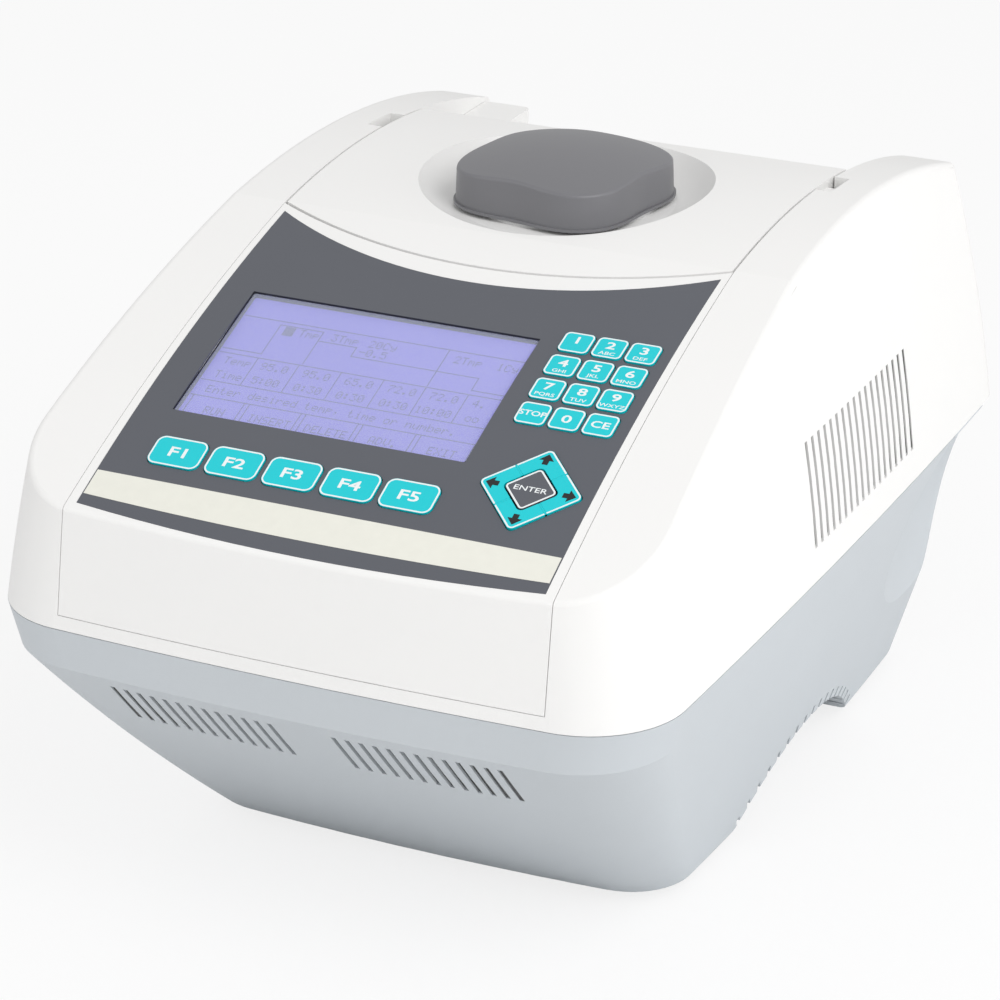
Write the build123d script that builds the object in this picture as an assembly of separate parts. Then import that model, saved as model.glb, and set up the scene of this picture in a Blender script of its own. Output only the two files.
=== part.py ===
from build123d import *
import math
import os

# Bench thermal cycler, in millimetres.
# X runs across the front, the front faces -Y and +Z is up.
# Every function below works with z = 0 at the seam between the grey base and the white
# housing. The pieces are raised by seam_height when they are written, so the finished
# model stands on z = 0 with its origin under the middle of its box.

# Overall sizes
width = 280.0
depth = 396.0
base_depth = 120.0          # grey base, seam to underside
foot_height = 4.0
seam_height = base_depth + foot_height
wall = 3.0                  # moulded walls
parting_gap = 0.3           # between neighbouring covers
key_gap = 0.35              # round each key
running_gap = 0.05          # radial, shaft in bore

# Plan outline of the covers
side_bow = 3.4              # how far the long sides bulge
front_bow = 4.5
rear_bow = 1.5
front_corner_r = 38.0
rear_corner_r = 25.0

# White housing: walls lean in as they rise
side_lean = 0.085
side_lean_growth = 0.00075
front_lean = 0.16
rear_lean = 0.26
rear_corner_shrink = 0.20
housing_levels = [0.0, 30.0, 60.0, 90.0, 126.0]

# Arched top, points in (y, height above the seam)
shoulder = (-188.0, 46.5)
lid_corner = (-17.5, 113.5)
panel_sagitta = 5.2
crest = (50.0, 120.5)
rear_top = (171.0, 104.0)
crease_r = 3.0

# Grey base
band_height = 16.5          # upright band under the seam
base_half_width = 106.0     # at the underside
base_rear_setback = 20.5
base_front_slope = 0.88
base_front_growth = 0.00135
base_corner_r = 27.0
underside_r = 4.0
base_levels = [0.25, 0.5, 0.75, 1.0]

# Front air slots
slot_count = 13
slot_pitch = 5.55
slot_width = 2.0
slot_length = 28.8
slot_first_x = 13.2
slot_top = 22.5             # below the seam

# Side air slots
side_slot_count = 18
side_slot_pitch = 6.35
side_slot_width = 2.4
side_slot_first_y = -33.0
side_slot_low = 13.5
side_slot_high = 56.0

# Lifting arches in the base's sides
arch_y = 35.0
arch_half_width = 64.0
arch_rise = 27.0
arch_inner_x = 84.0
arch_slot_count = 17
arch_slot_width = 2.4

# Exhaust slots in the rear of the housing
rear_slot_count = 13
rear_slot_pitch = 8.0
rear_slot_width = 3.0
rear_slot_low = 18.0
rear_slot_high = 70.0

# Hand scoops at the rear corners
scoop_y = 158.0
scoop_z = -60.0
scoop_half_y = 66.0
scoop_half_z = 48.0
scoop_depth = 10.0

# Front panel between the side rails
panel_low = 5.5
panel_half_low = 99.6
panel_half_high = 96.2
gap_arc_side_y = -18.5
gap_arc_mid_y = -39.7

# Keypad overlay on the panel; s is measured up the slope from the shoulder
overlay_thick = 0.9
overlay_half_low = 95.0
overlay_half_high = 93.2
overlay_low_side_y = -184.9
overlay_low_mid_y = -189.3
overlay_high_side_s = 177.0
overlay_high_mid_s = 151.0

# Display window
window_left = -80.4
window_right = 41.3
window_low_s = 55.4
window_high_s = 125.0
glass_thick = 1.5
glass_drop = 0.9
lcd_thick = 7.0
lcd_margin = 4.0

# Keys
key_proud = 0.6
key_thick = 3.0
key_travel = 0.5
backplate_thick = 1.2
fkey_size = (21.5, 14.0)
fkey_first_x = -67.4
fkey_pitch = 23.9
fkey_s = 34.6
fkey_corner_r = 3.5
pad_key_size = (12.1, 11.2)
pad_first_x = 55.9
pad_pitch_x = 13.5
pad_top_s = 125.6
pad_pitch_s = 13.65
pad_corner_r = 2.2
nav_centre = (70.8, 47.9)
nav_half = 20.5             # centre to corner of the diamond
nav_hole_half = 11.4
nav_key_gap = 0.8
enter_half = 10.4
nav_corner_r = 2.2

# Bay under the lid
bay_half_width = 96.2
bay_rear_y = 104.0
deck_top = 94.5
deck_thick = 3.0
deck_window_r = 6.0
seat_gap = 0.2
lip_height = 3.0           # locating lip above the seam
lip_gap = rear_lean * lip_height + parting_gap
lip_thick = 2.0
rear_deck_top = 92.0
block_centre_y = 39.0

# Lid
lid_gap = 0.9
lid_rear_y = 103.0
deck_gap = 0.7              # lid over the deck
lid_bottom = deck_top + deck_gap
lid_wall = 2.8
dish_top_r = 60.0
dish_floor_r = 44.5
dish_floor = 110.4
liner_thick = 2.5
gasket_groove = 1.5
gasket_offset = 3.0
gasket_width = 4.0
gasket_proud = deck_gap - parting_gap
ear_y = 76.0
ear_length = 12.0
ear_reach = 4.0
ear_low = 112.5
ear_thick = 4.0
pocket_y = 77.0
pocket_length = 21.0
pocket_reach = 6.5
pocket_floor = 108.0

# Knob and the screw that lowers the heated plate
knob_mean_r = 40.6
knob_lobe = 3.6
knob_turn = 36.0            # degrees, where the lobes point at rest
knob_bottom = 112.0
knob_rim = 126.5
knob_crown = 132.5
knob_flange = 0.8
knob_flange_thick = 1.2
knob_taper = 2.0
seat_ring_r = 37.0
seat_ring_bore_r = 22.0
shaft_r = 5.0
shaft_low = 97.5
boss_r = 9.0
boss_top = 106.0
plate_size = (122.0, 80.0)
plate_bottom = 90.0
plate_thick = 6.0
plate_travel = 5.0
bridge_size = (150.0, 44.0)
bridge_thick = 4.0
guide_r = 3.0
guide_x = 40.0
guide_y = 12.0
guide_top = 106.5
shaft_top = 122.0
knob_points = 32
knob_edge_r = 1.4

# Hinge
hinge_y = 111.0
hinge_z = 100.0
hinge_pin_r = 3.0
barrel_r = 6.0
barrel_length = 26.0
barrel_x = 70.0
ear_width = 6.5
hinge_gap = 0.3
cover_front_y = 140.0
cover_rear_y = 166.0
cover_width = 22.0
cover_top = 103.5

# Sample block and what lies under it
well_rows = 8
well_columns = 12
well_pitch = 9.0
well_top_r = 3.1
well_bottom_r = 1.35
well_depth = 15.0
block_margin = 5.5
block_top = 84.0
block_height = 21.0
recess_size = (130.0, 88.0)
frame_wall = 9.7
frame_floor = 79.0
frame_floor_thick = 3.0
peltier_size = 34.0
peltier_thick = 4.0
peltier_pitch = 36.5
sink_size = (140.0, 96.0)
sink_base = 8.0
fin_count = 15
fin_thick = 2.0

# Inner platform, fan, supply and boards
platform_top = -30.0
platform_thick = 2.0
platform_size = (196.0, 300.0)
platform_y = 0.0
post_r = 5.0
post_x = 84.0
post_rear_y = 130.0
post_front_y = -62.0
fan_size = 92.0
fan_thick = 25.0
fan_y = -27.0
rotor_r = 41.5
rotor_hub_r = 17.0
blade_count = 7
strut_thick = 3.0
supply_size = (150.0, 98.0, 38.0)
supply_y = 40.0
case_wall = 1.5
board_size = (150.0, 84.0)
board_y = -94.0
board_thick = 1.6
board_lift = 8.0

# Power panel in the rear of the base
power_size = (96.0, 40.0)
power_z = -55.0
power_face_y = 178.0
power_plate_thick = 2.0
power_border = 5.0
inlet_x = 20.0
inlet_size = (27.0, 19.0)
inlet_depth = 16.0
inlet_pin_length = 10.5
switch_x = -24.0
switch_size = (13.0, 20.0)
rocker_tilt = 8.0

# Feet and screws
foot_r = 9.0
foot_x = 78.0
foot_front_y = -62.0
foot_rear_y = 150.0
screw_head_r = 3.5
screw_shank_r = 2.0


def chord_circle(start, end, sagitta):
    """Centre and radius of the arc that bulges up from start to end."""
    across, up = end[0] - start[0], end[1] - start[1]
    chord = math.hypot(across, up)
    radius = (chord ** 2 / 4 + sagitta ** 2) / (2 * sagitta)
    down = radius - sagitta
    centre = ((start[0] + end[0]) / 2 + up / chord * down, (start[1] + end[1]) / 2 - across / chord * down)
    return centre, radius


panel_centre, panel_radius = chord_circle(shoulder, lid_corner, panel_sagitta)
panel_start = math.atan2(shoulder[1] - panel_centre[1], shoulder[0] - panel_centre[0])
panel_end = math.atan2(lid_corner[1] - panel_centre[1], lid_corner[0] - panel_centre[0])
panel_length = panel_radius * (panel_start - panel_end)


def slope_angle(s):
    """Angle of the panel's normal, s millimetres up the slope."""
    return panel_start - s / panel_radius


def slope_point(s):
    """The panel surface as (y, z), s millimetres up the slope."""
    angle = slope_angle(s)
    return (panel_centre[0] + panel_radius * math.cos(angle), panel_centre[1] + panel_radius * math.sin(angle))


def panel_plane(x, s, lift=0.0):
    """Plane that lies on the panel with Z along its normal and Y up the slope."""
    angle = slope_angle(s)
    y, z = slope_point(s)
    normal = (0, math.cos(angle), math.sin(angle))
    origin = (x, y + lift * normal[1], z + lift * normal[2])
    return Plane(origin=origin, x_dir=(1, 0, 0), z_dir=normal)


def box_between(low, high):
    """Box from its lowest to its highest corner."""
    size = [b - a for a, b in zip(low, high)]
    middle = [(a + b) / 2 for a, b in zip(low, high)]
    return Pos(*middle) * Box(*size)


def disc(radius, low, high, x=0.0, y=0.0):
    """Upright cylinder between two heights."""
    return Pos(x, y, (low + high) / 2) * Cylinder(radius, high - low)


def rod_x(radius, x_low, x_high, y, z):
    """Cylinder along X."""
    return Pos((x_low + x_high) / 2, y, z) * Rot(0, 90, 0) * Cylinder(radius, x_high - x_low)


def rounded_block(size, corner_r, low, high, x=0.0, y=0.0):
    """Upright block with rounded corners in plan."""
    return extrude(Pos(x, y, low) * RectangleRounded(size[0], size[1], corner_r), amount=high - low)


def mirrored(shape):
    """The shape and its mirror image on the other side."""
    return shape + mirror(shape, about=Plane.YZ)


def outline_face(half_width, y_front, y_rear, r_front, r_rear, level):
    """Rounded rectangle with bulging sides, as a face at a given height."""
    corner_x = half_width - side_bow
    front_y = y_front + front_bow
    rear_y = y_rear - rear_bow
    middle_y = (front_y + rear_y) / 2
    face = make_face([
        ThreePointArc((-corner_x, front_y), (0, y_front), (corner_x, front_y)),
        ThreePointArc((corner_x, front_y), (half_width, middle_y), (corner_x, rear_y)),
        ThreePointArc((corner_x, rear_y), (0, y_rear), (-corner_x, rear_y)),
        ThreePointArc((-corner_x, rear_y), (-half_width, middle_y), (-corner_x, front_y)),
    ])
    face = fillet([v for v in face.vertices() if v.Y < middle_y], r_front)
    face = fillet([v for v in face.vertices() if abs(v.Y - rear_y) < 0.01], r_rear)
    return Pos(0, 0, level) * face


def housing_half_width(level):
    """Half the white housing's width at one height."""
    return width / 2 - side_lean * level - side_lean_growth * level ** 2


def housing_section(level, inset):
    """Plan outline of the white housing at one height."""
    y_front = -depth / 2 + front_lean * level + inset
    y_rear = depth / 2 - rear_lean * level - inset
    r_front = front_corner_r - inset
    r_rear = max(rear_corner_r - rear_corner_shrink * level - inset, 0.6)
    return outline_face(housing_half_width(level) - inset, y_front, y_rear, r_front, r_rear, level)


def under_arch(drop, low):
    """Everything below the arched top when the arch is lowered by drop."""
    front_y, rear_y = -depth / 2 - 20, depth / 2 + 20
    front_z = shoulder[1] + (shoulder[0] - front_y) / math.tan(panel_start)
    rear_z = rear_top[1] - (rear_y - rear_top[0]) * 0.4
    middle = slope_point(panel_length / 2)
    points = [(front_y, front_z), shoulder, lid_corner, crest, rear_top, (rear_y, rear_z), middle]
    front, heel, corner, top, rear, back, mid = [(y, z - drop) for y, z in points]
    profile = make_face([
        Line((front_y, low), front),
        Line(front, heel),
        ThreePointArc(heel, mid, corner),
        ThreePointArc(corner, top, rear),
        Line(rear, back),
        Line(back, (rear_y, low)),
        Line((rear_y, low), (front_y, low)),
    ])
    return extrude(Plane.YZ * profile, amount=width / 2 + 10, both=True)


def envelope(inset=0.0, low=0.0):
    """The white housing's solid form, drawn in by inset on all sides and the top."""
    levels = [low] + housing_levels[1:]
    body = loft([housing_section(level, inset) for level in levels])
    return body & under_arch(inset, low - 5.0)


def rounded_envelope():
    """The outer form with the crease between its top and its sides eased."""
    body = envelope()
    creases = [e for e in body.edges()
               if abs(e.center().X) > width / 3 and e.center().Z > shoulder[1] and e.bounding_box().size.Y > 60]
    return fillet(creases, crease_r)


def front_setback(below):
    """How far the base's front has drawn back at a depth below the seam."""
    down = max(below - band_height, 0.0)
    upright = min(below, band_height) * 0.1
    return upright + base_front_slope * down + base_front_growth * down * (down - band_height)


def base_half_width_at(below):
    """Half the grey base's width at a depth below the seam."""
    return width / 2 - (width / 2 - base_half_width) * below / base_depth


def base_section(below, inset):
    """Plan outline of the grey base at a depth below the seam."""
    share = below / base_depth
    slant = 1.0 + 0.35 * min(below / band_height, 1.0)
    y_front = -depth / 2 + front_setback(below) + inset * slant
    y_rear = depth / 2 - base_rear_setback * share - inset
    r_front = front_corner_r + (base_corner_r - front_corner_r) * share - inset
    return outline_face(base_half_width_at(below) - inset, y_front, y_rear, r_front,
                        rear_corner_r - inset, -below)


def base_form(inset, low):
    """Solid form of the grey base down to a depth below the seam."""
    band = loft([base_section(0.0, inset), base_section(band_height, inset)])
    levels = [band_height] + [band_height + share * (low - band_height) for share in base_levels]
    return band + loft([base_section(level, inset) for level in levels])


def arch_cutter(grow):
    """Round-topped tunnel that forms one lifting arch, grown by the wall for its soffit."""
    radius = (arch_half_width ** 2 + arch_rise ** 2) / (2 * arch_rise)
    centre_z = -base_depth + arch_rise - radius
    return rod_x(radius + grow, arch_inner_x - grow, width / 2 + 10, arch_y, centre_z)


def arch_slots():
    """Air slots across the soffit of one lifting arch."""
    radius = (arch_half_width ** 2 + arch_rise ** 2) / (2 * arch_rise)
    centre_z = -base_depth + arch_rise - radius
    half_angle = math.degrees(math.asin(arch_half_width / radius)) - 4.0
    cutters = []
    for i in range(arch_slot_count):
        angle = -half_angle + 2 * half_angle * i / (arch_slot_count - 1)
        slot = Box(width / 2 - arch_inner_x, arch_slot_width, 2 * wall)
        slot = Pos((width / 2 + arch_inner_x) / 2 + 2 * wall, 0, radius + wall / 2) * slot
        cutters.append(Pos(0, arch_y, centre_z) * Rot(-angle, 0, 0) * slot)
    return cutters


def scoop_cutter(grow):
    """Shallow oval hollow in the rear of one side, for the fingers."""
    bulge = 3 * scoop_depth
    spread = math.sqrt(1 - ((bulge - scoop_depth) / bulge) ** 2)
    half_y, half_z = scoop_half_y / spread, scoop_half_z / spread
    x = base_half_width_at(-scoop_z) + bulge - scoop_depth
    return Pos(x, scoop_y, scoop_z) * scale(Sphere(1), by=(bulge + grow, half_y + grow, half_z + grow))


def front_slots():
    """Two groups of air slots in the sloping front of the base."""
    angle = math.degrees(math.atan(base_front_slope))
    below = slot_top + slot_length / 2 * math.cos(math.radians(angle))
    cutters = []
    for i in range(slot_count):
        x = slot_first_x + i * slot_pitch
        for side in (-1, 1):
            slot = Box(slot_width, 5 * wall, slot_length)
            place = Pos(side * x, -depth / 2 + front_setback(below), -below) * Rot(angle, 0, 0)
            cutters.append(place * slot)
    return cutters


def power_pocket(border, start_y):
    """Block behind the rear opening, from the power plate's face outwards."""
    half_x, half_z = power_size[0] / 2 + border, power_size[1] / 2 + border
    return box_between((-half_x, start_y, power_z - half_z), (half_x, depth / 2 + 5, power_z + half_z))


def base_tub():
    """Grey lower shell with its slots, arches, scoops and the frame round the power plate."""
    outer = base_form(0.0, base_depth)
    rim = outer.edges().filter_by(lambda e: abs(e.center().Z + base_depth) < 0.01)
    outer = fillet(rim, underside_r)
    outer -= mirrored(scoop_cutter(0.0))
    hollow = base_form(wall, base_depth - wall) + base_lip_room()
    hollow -= mirrored(arch_cutter(wall))
    hollow -= mirrored(scoop_cutter(wall))
    tub = outer - hollow + (power_pocket(power_border, power_face_y) & outer)
    tub -= mirrored(arch_cutter(0.0))
    tub -= power_pocket(0.0, power_face_y - 1)
    tub -= front_slots()
    slots = arch_slots()
    tub -= slots + [mirror(slot, about=Plane.YZ) for slot in slots]
    return tub + base_lip()


def base_lip_room():
    """Opens the top of the base's hollow."""
    return extrude(base_section(0.0, wall), amount=5)


def base_lip():
    """Upright lip inside the seam that centres the housing."""
    outside = extrude(Pos(0, 0, -4) * base_section(0.0, wall + lip_gap), amount=4 + lip_height)
    inside = extrude(Pos(0, 0, -5) * base_section(0.0, wall + lip_gap + lip_thick), amount=6 + lip_height)
    bridge = extrude(Pos(0, 0, -4) * base_section(0.0, wall - 0.5), amount=2)
    return (outside + bridge) - inside


def feet():
    """Four rubber feet under the base."""
    pads = []
    for x in (-foot_x, foot_x):
        for y in (foot_front_y, foot_rear_y):
            pad = disc(foot_r, -seam_height, -base_depth, x, y)
            pads.append(chamfer(pad.edges().group_by(Axis.Z)[0], 1.0))
    return Compound(children=pads)


def bay_outline(margin):
    """Plan of the bay under the lid, drawn in by margin; its front edge is a bowed line."""
    half = bay_half_width - margin
    side_y, mid_y = gap_arc_side_y + margin, gap_arc_mid_y + margin
    rear_y = bay_rear_y - margin
    return make_face([
        ThreePointArc((-half, side_y), (0, mid_y), (half, side_y)),
        Line((half, side_y), (half, rear_y)),
        Line((half, rear_y), (-half, rear_y)),
        Line((-half, rear_y), (-half, side_y)),
    ])


def bay_block(margin, low, high=150.0):
    """The bay's plan as a solid."""
    return extrude(Pos(0, 0, low) * bay_outline(margin), amount=high - low)


def rear_well(margin, low):
    """Open space between the rails behind the lid."""
    half = bay_half_width - margin
    return box_between((-half, bay_rear_y - 1, low), (half, depth / 2 + 10, 150.0))


def panel_block(margin):
    """Plan of the front panel between the rails as a solid above its lower edge."""
    low_half, high_half = panel_half_low - margin, panel_half_high - margin
    front_y = -depth / 2 - 5
    side_y, mid_y = gap_arc_side_y - margin, gap_arc_mid_y - margin
    face = make_face([
        Line((-low_half, front_y), (low_half, front_y)),
        Line((low_half, front_y), (high_half, side_y)),
        ThreePointArc((high_half, side_y), (0, mid_y), (-high_half, side_y)),
        Line((-high_half, side_y), (-low_half, front_y)),
    ])
    return extrude(Pos(0, 0, panel_low + margin) * face, amount=150.0)


def side_slots():
    """Air slots in the housing's sides."""
    cutters = []
    for i in range(side_slot_count):
        y = side_slot_first_y + i * side_slot_pitch
        for side in (-1, 1):
            low = (side * width / 2 - 22, y - side_slot_width / 2, side_slot_low)
            high = (side * width / 2 + 22, y + side_slot_width / 2, side_slot_high)
            cutters.append(box_between(low, high))
    return cutters


def rear_slots():
    """Exhaust slots in the housing's rear wall."""
    cutters = []
    for i in range(rear_slot_count):
        x = (i - (rear_slot_count - 1) / 2) * rear_slot_pitch
        low = (x - rear_slot_width / 2, depth / 2 - 40, rear_slot_low)
        high = (x + rear_slot_width / 2, depth / 2 + 10, rear_slot_high)
        cutters.append(box_between(low, high))
    return cutters


def ear_pockets():
    """Pockets in the rails that take the lid's ears."""
    cutters = []
    for side in (-1, 1):
        x = side * (bay_half_width + pocket_reach / 2 - 1)
        low = (x - pocket_reach / 2 - 1, pocket_y - pocket_length / 2, pocket_floor)
        high = (x + pocket_reach / 2 + 1, pocket_y + pocket_length / 2, 150.0)
        cutters.append(box_between(low, high))
    return cutters


def upper_housing(outer, inner):
    """White housing: side walls, rails, the bay under the lid and the frame round the panel."""
    rear_liner = rear_well(-wall, rear_deck_top - deck_thick)
    liner = (bay_block(-wall, deck_top - deck_thick) + rear_liner) & outer
    pockets = ear_pockets()
    pocket_walls = [box_between((min(b.min.X, b.max.X) - wall, b.min.Y - wall, b.min.Z - wall),
                                (b.max.X + wall, b.max.Y + wall, 150.0)) & outer
                    for b in [p.bounding_box() for p in pockets]]
    body = outer - inner + liner + pocket_walls
    body &= box_between((-width, -depth, parting_gap), (width, depth, 200))
    body -= panel_block(0.0) - envelope(wall + seat_gap, -1.0)
    body -= bay_block(0.0, deck_top)
    body -= rear_well(0.0, rear_deck_top)
    body -= pockets
    window = rounded_block(deck_window(), deck_window_r, 50.0, deck_top + 1, y=block_centre_y)
    body -= window
    body -= side_slots()
    return body - rear_slots()


def deck_window():
    """Opening in the deck round the block's frame."""
    return (recess_size[0] + 2 * frame_wall, recess_size[1] + 2 * frame_wall)


def overlay_block(margin):
    """Plan of the keypad overlay as a solid."""
    low_half, high_half = overlay_half_low - margin, overlay_half_high - margin
    high_side = slope_point(overlay_high_side_s)[0] - margin
    high_mid = slope_point(overlay_high_mid_s)[0] - margin
    low_side, low_mid = overlay_low_side_y + margin, overlay_low_mid_y + margin
    face = make_face([
        ThreePointArc((-low_half, low_side), (0, low_mid), (low_half, low_side)),
        Line((low_half, low_side), (high_half, high_side)),
        ThreePointArc((high_half, high_side), (0, high_mid), (-high_half, high_side)),
        Line((-high_half, high_side), (-low_half, low_side)),
    ])
    return extrude(face, amount=150.0)


def key_outlines():
    """Every rounded-rectangle key: name, x, s, size and corner radius."""
    keys = []
    for i in range(5):
        keys.append((f"key_f{i + 1}", fkey_first_x + i * fkey_pitch, fkey_s, fkey_size, fkey_corner_r))
    rows = [["1", "2", "3"], ["4", "5", "6"], ["7", "8", "9"], ["stop", "0", "clear"]]
    for row, labels in enumerate(rows):
        for column, label in enumerate(labels):
            x = pad_first_x + column * pad_pitch_x
            keys.append((f"key_{label}", x, pad_top_s - row * pad_pitch_s, pad_key_size, pad_corner_r))
    return keys


def raised(sketch, x, s, low, high):
    """A sketch on the panel's slope, extruded along the panel's normal."""
    return extrude(panel_plane(x, s, low) * sketch, amount=high - low)


def plain_key(x, s, size, corner_r):
    """One keypad key."""
    return raised(RectangleRounded(size[0], size[1], corner_r), x, s, key_proud - key_thick, key_proud)


def diamond(half, corner_r):
    """Square that stands on its corner, with rounded corners."""
    side = half * math.sqrt(2)
    return Rot(0, 0, 45) * RectangleRounded(side, side, corner_r)


def arrow_keys():
    """The four corners of the diamond ring, named by where they point."""
    ring = diamond(nav_half, nav_corner_r) - diamond(nav_hole_half, nav_corner_r)
    for angle in (45, 135):
        ring -= Rot(0, 0, angle) * Rectangle(4 * nav_half, nav_key_gap)
    keys = {}
    for face in ring.faces():
        centre = face.center()
        if abs(centre.X) > abs(centre.Y):
            name = "key_right" if centre.X > 0 else "key_left"
        else:
            name = "key_up" if centre.Y > 0 else "key_down"
        keys[name] = raised(face, *nav_centre, key_proud - key_thick, key_proud)
    return keys


def panel_holes(low, high):
    """Cutters for the display window and the keys."""
    window_size = (window_right - window_left, window_high_s - window_low_s)
    window_x, window_s = (window_left + window_right) / 2, (window_low_s + window_high_s) / 2
    cutters = [raised(Rectangle(*window_size), window_x, window_s, low, high)]
    for name, x, s, size, corner_r in key_outlines():
        grown = RectangleRounded(size[0] + 2 * key_gap, size[1] + 2 * key_gap, corner_r + key_gap)
        cutters.append(raised(grown, x, s, low, high))
    cutters.append(raised(diamond(nav_half + key_gap * 1.5, nav_corner_r), *nav_centre, low, high))
    return cutters


def display_parts():
    """Glass over the display and the module behind it."""
    size = (window_right - window_left, window_high_s - window_low_s)
    x, s = (window_left + window_right) / 2, (window_low_s + window_high_s) / 2
    sag = size[1] ** 2 / (8 * panel_radius)
    top = -glass_drop - sag
    glass = raised(RectangleRounded(size[0] - 0.5, size[1] - 0.5, 0.8), x, s, top - glass_thick, top)
    module_top = -wall - sag - parting_gap
    module = raised(Rectangle(size[0] + 2 * lcd_margin, size[1] + 2 * lcd_margin), x, s,
                    module_top - lcd_thick, module_top)
    return glass, module


def keypad_backplate():
    """Curved switch layer behind the keys."""
    layer = envelope(wall + 0.5, -1.0) - envelope(wall + 0.5 + backplate_thick, -1.0)
    pad_left = window_right + lcd_margin + 2
    low_y, high_y = slope_point(nav_centre[1] - nav_half - 3)[0], slope_point(pad_top_s + pad_key_size[1])[0]
    pad = box_between((pad_left, low_y, 0), (overlay_half_high - 2, high_y, 150))
    strip_low = slope_point(fkey_s - fkey_size[1] / 2 - 3)[0]
    strip_high = slope_point(window_low_s - lcd_margin - 2)[0]
    strip = box_between((fkey_first_x - fkey_size[0] / 2 - 3, strip_low, 0), (pad_left + 1, strip_high, 150))
    return layer & (pad + strip)


def front_panel_parts(outer, inner):
    """White front panel and the dark overlay let into it."""
    blank = (outer - inner) & panel_block(parting_gap)
    holes = panel_holes(-3 * wall, 2 * wall)
    beneath = envelope(overlay_thick, -1.0)
    overlay = (outer - beneath) & overlay_block(0.0)
    panel = blank - (overlay_block(-0.1) - envelope(overlay_thick + 0.05, -1.0)) - holes
    return panel, overlay - holes


def dish(grow):
    """Bowl sunk into the lid round the knob; grown by the wall for its underside."""
    floor_z, floor_r, top_r = dish_floor - grow, dish_floor_r, dish_top_r
    mouth_z = crest[1]
    rise = mouth_z - dish_floor
    profile = make_face([
        Line((0, floor_z), (floor_r + grow / 2, floor_z)),
        ThreePointArc((floor_r + grow / 2, floor_z),
                      ((floor_r + top_r) / 2 + grow * 0.9 + 2.0, dish_floor + rise * 0.36 - grow * 0.6),
                      (top_r + grow, mouth_z)),
        Line((top_r + grow, mouth_z), (top_r + grow, mouth_z + 10)),
        Line((top_r + grow, mouth_z + 10), (0, mouth_z + 10)),
        Line((0, mouth_z + 10), (0, floor_z)),
    ])
    return Pos(0, block_centre_y, 0) * revolve(Plane.XZ * profile, axis=Axis.Z)


def lid_block(margin, low):
    """The lid's plan as a solid; it stands inside the bay with a gap all round."""
    block = bay_block(lid_gap + margin, low)
    rear = box_between((-width, lid_rear_y - margin, low - 1), (width, depth, 200))
    return block - rear


def lid_shell(outer):
    """White lid: arched top, skirt, dish and ears."""
    body = outer & lid_block(0.0, lid_bottom)
    inside = envelope(lid_wall, -1.0) & lid_block(lid_wall, lid_bottom - 1)
    body -= inside - dish(lid_wall)
    body -= dish(0.0)
    body -= disc(shaft_r + running_gap, 90.0, 130.0, y=block_centre_y)
    for side in (-1, 1):
        reach = bay_half_width + ear_reach
        ear = box_between((min(side * (bay_half_width - 3), side * reach), ear_y - ear_length / 2, ear_low),
                          (max(side * (bay_half_width - 3), side * reach), ear_y + ear_length / 2,
                           ear_low + ear_thick))
        body += ear
    return body


def lid_liner():
    """Flat cover that closes the lid from below, with the heated plate's window."""
    plate = lid_block(lid_wall + 0.2, lid_bottom) & box_between((-width, -depth, lid_bottom),
                                                                (width, depth, lid_bottom + liner_thick))
    plate -= rounded_block(recess_size, 4.0, 90.0, 110.0, y=block_centre_y)
    return plate - gasket_ring(0.0, gasket_groove)


def gasket_ring(gap, rise):
    """Ring round the heated plate's window, from the liner's face up into its groove."""
    outer_size = [side + 2 * gasket_offset + 2 * gasket_width - 2 * gap for side in recess_size]
    inner_size = [side + 2 * gasket_offset + 2 * gap for side in recess_size]
    ring = rounded_block(outer_size, 6.0, lid_bottom - 1, lid_bottom + rise, y=block_centre_y)
    return ring - rounded_block(inner_size, 3.0, lid_bottom - 2, lid_bottom + rise + 1, y=block_centre_y)


def lid_gasket():
    """Soft seal that stands proud of the lid's underside."""
    ring = gasket_ring(0.1, gasket_groove - 0.1)
    return ring & box_between((-width, -depth, lid_bottom - gasket_proud), (width, depth, 200))


def knob_outline(grow=0.0, share=1.0):
    """Four-lobed outline of the knob."""
    points = []
    for i in range(knob_points):
        angle = 2 * math.pi * i / knob_points
        radius = (knob_mean_r + knob_lobe * math.cos(4 * (angle - math.radians(knob_turn))) + grow) * share
        points.append((radius * math.cos(angle), radius * math.sin(angle)))
    return make_face(Spline(points, periodic=True))


def pressure_knob():
    """Domed four-lobed knob with a thin flange at its foot."""
    high = knob_crown + 1
    share = 1 - math.tan(math.radians(knob_taper)) * (high - knob_bottom) / knob_mean_r
    body = loft([Pos(0, 0, knob_bottom) * knob_outline(), Pos(0, 0, high) * knob_outline(share=share)])
    rise, reach = knob_crown - knob_rim, knob_mean_r + knob_lobe
    dome_r = (reach ** 2 + rise ** 2) / (2 * rise)
    body &= Pos(0, 0, knob_crown - dome_r) * Sphere(dome_r)
    rim = body.edges().filter_by(lambda e: e.center().Z > knob_rim - 2)
    body = fillet(rim, knob_edge_r)
    body += extrude(Pos(0, 0, knob_bottom) * knob_outline(knob_flange), amount=knob_flange_thick)
    body -= disc(shaft_r, knob_bottom - 1, shaft_top)
    return Pos(0, block_centre_y, 0) * body


def knob_shaft():
    """Screw spindle with its collar under the dish."""
    spindle = disc(shaft_r, shaft_low, shaft_top, y=block_centre_y)
    collar = disc(boss_r - 1, boss_top + 0.4, boss_top + 1.3, y=block_centre_y)
    return spindle + collar


def knob_seat_ring():
    """Pale ring on the dish's floor, under the knob."""
    ring = disc(seat_ring_r, dish_floor, knob_bottom - 0.4, y=block_centre_y)
    return ring - disc(seat_ring_bore_r, dish_floor - 1, knob_bottom, y=block_centre_y)


def guide_places():
    """Centres of the heated plate's four guide pins."""
    return [(x, block_centre_y + y) for x in (-guide_x, guide_x) for y in (-guide_y, guide_y)]


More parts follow.
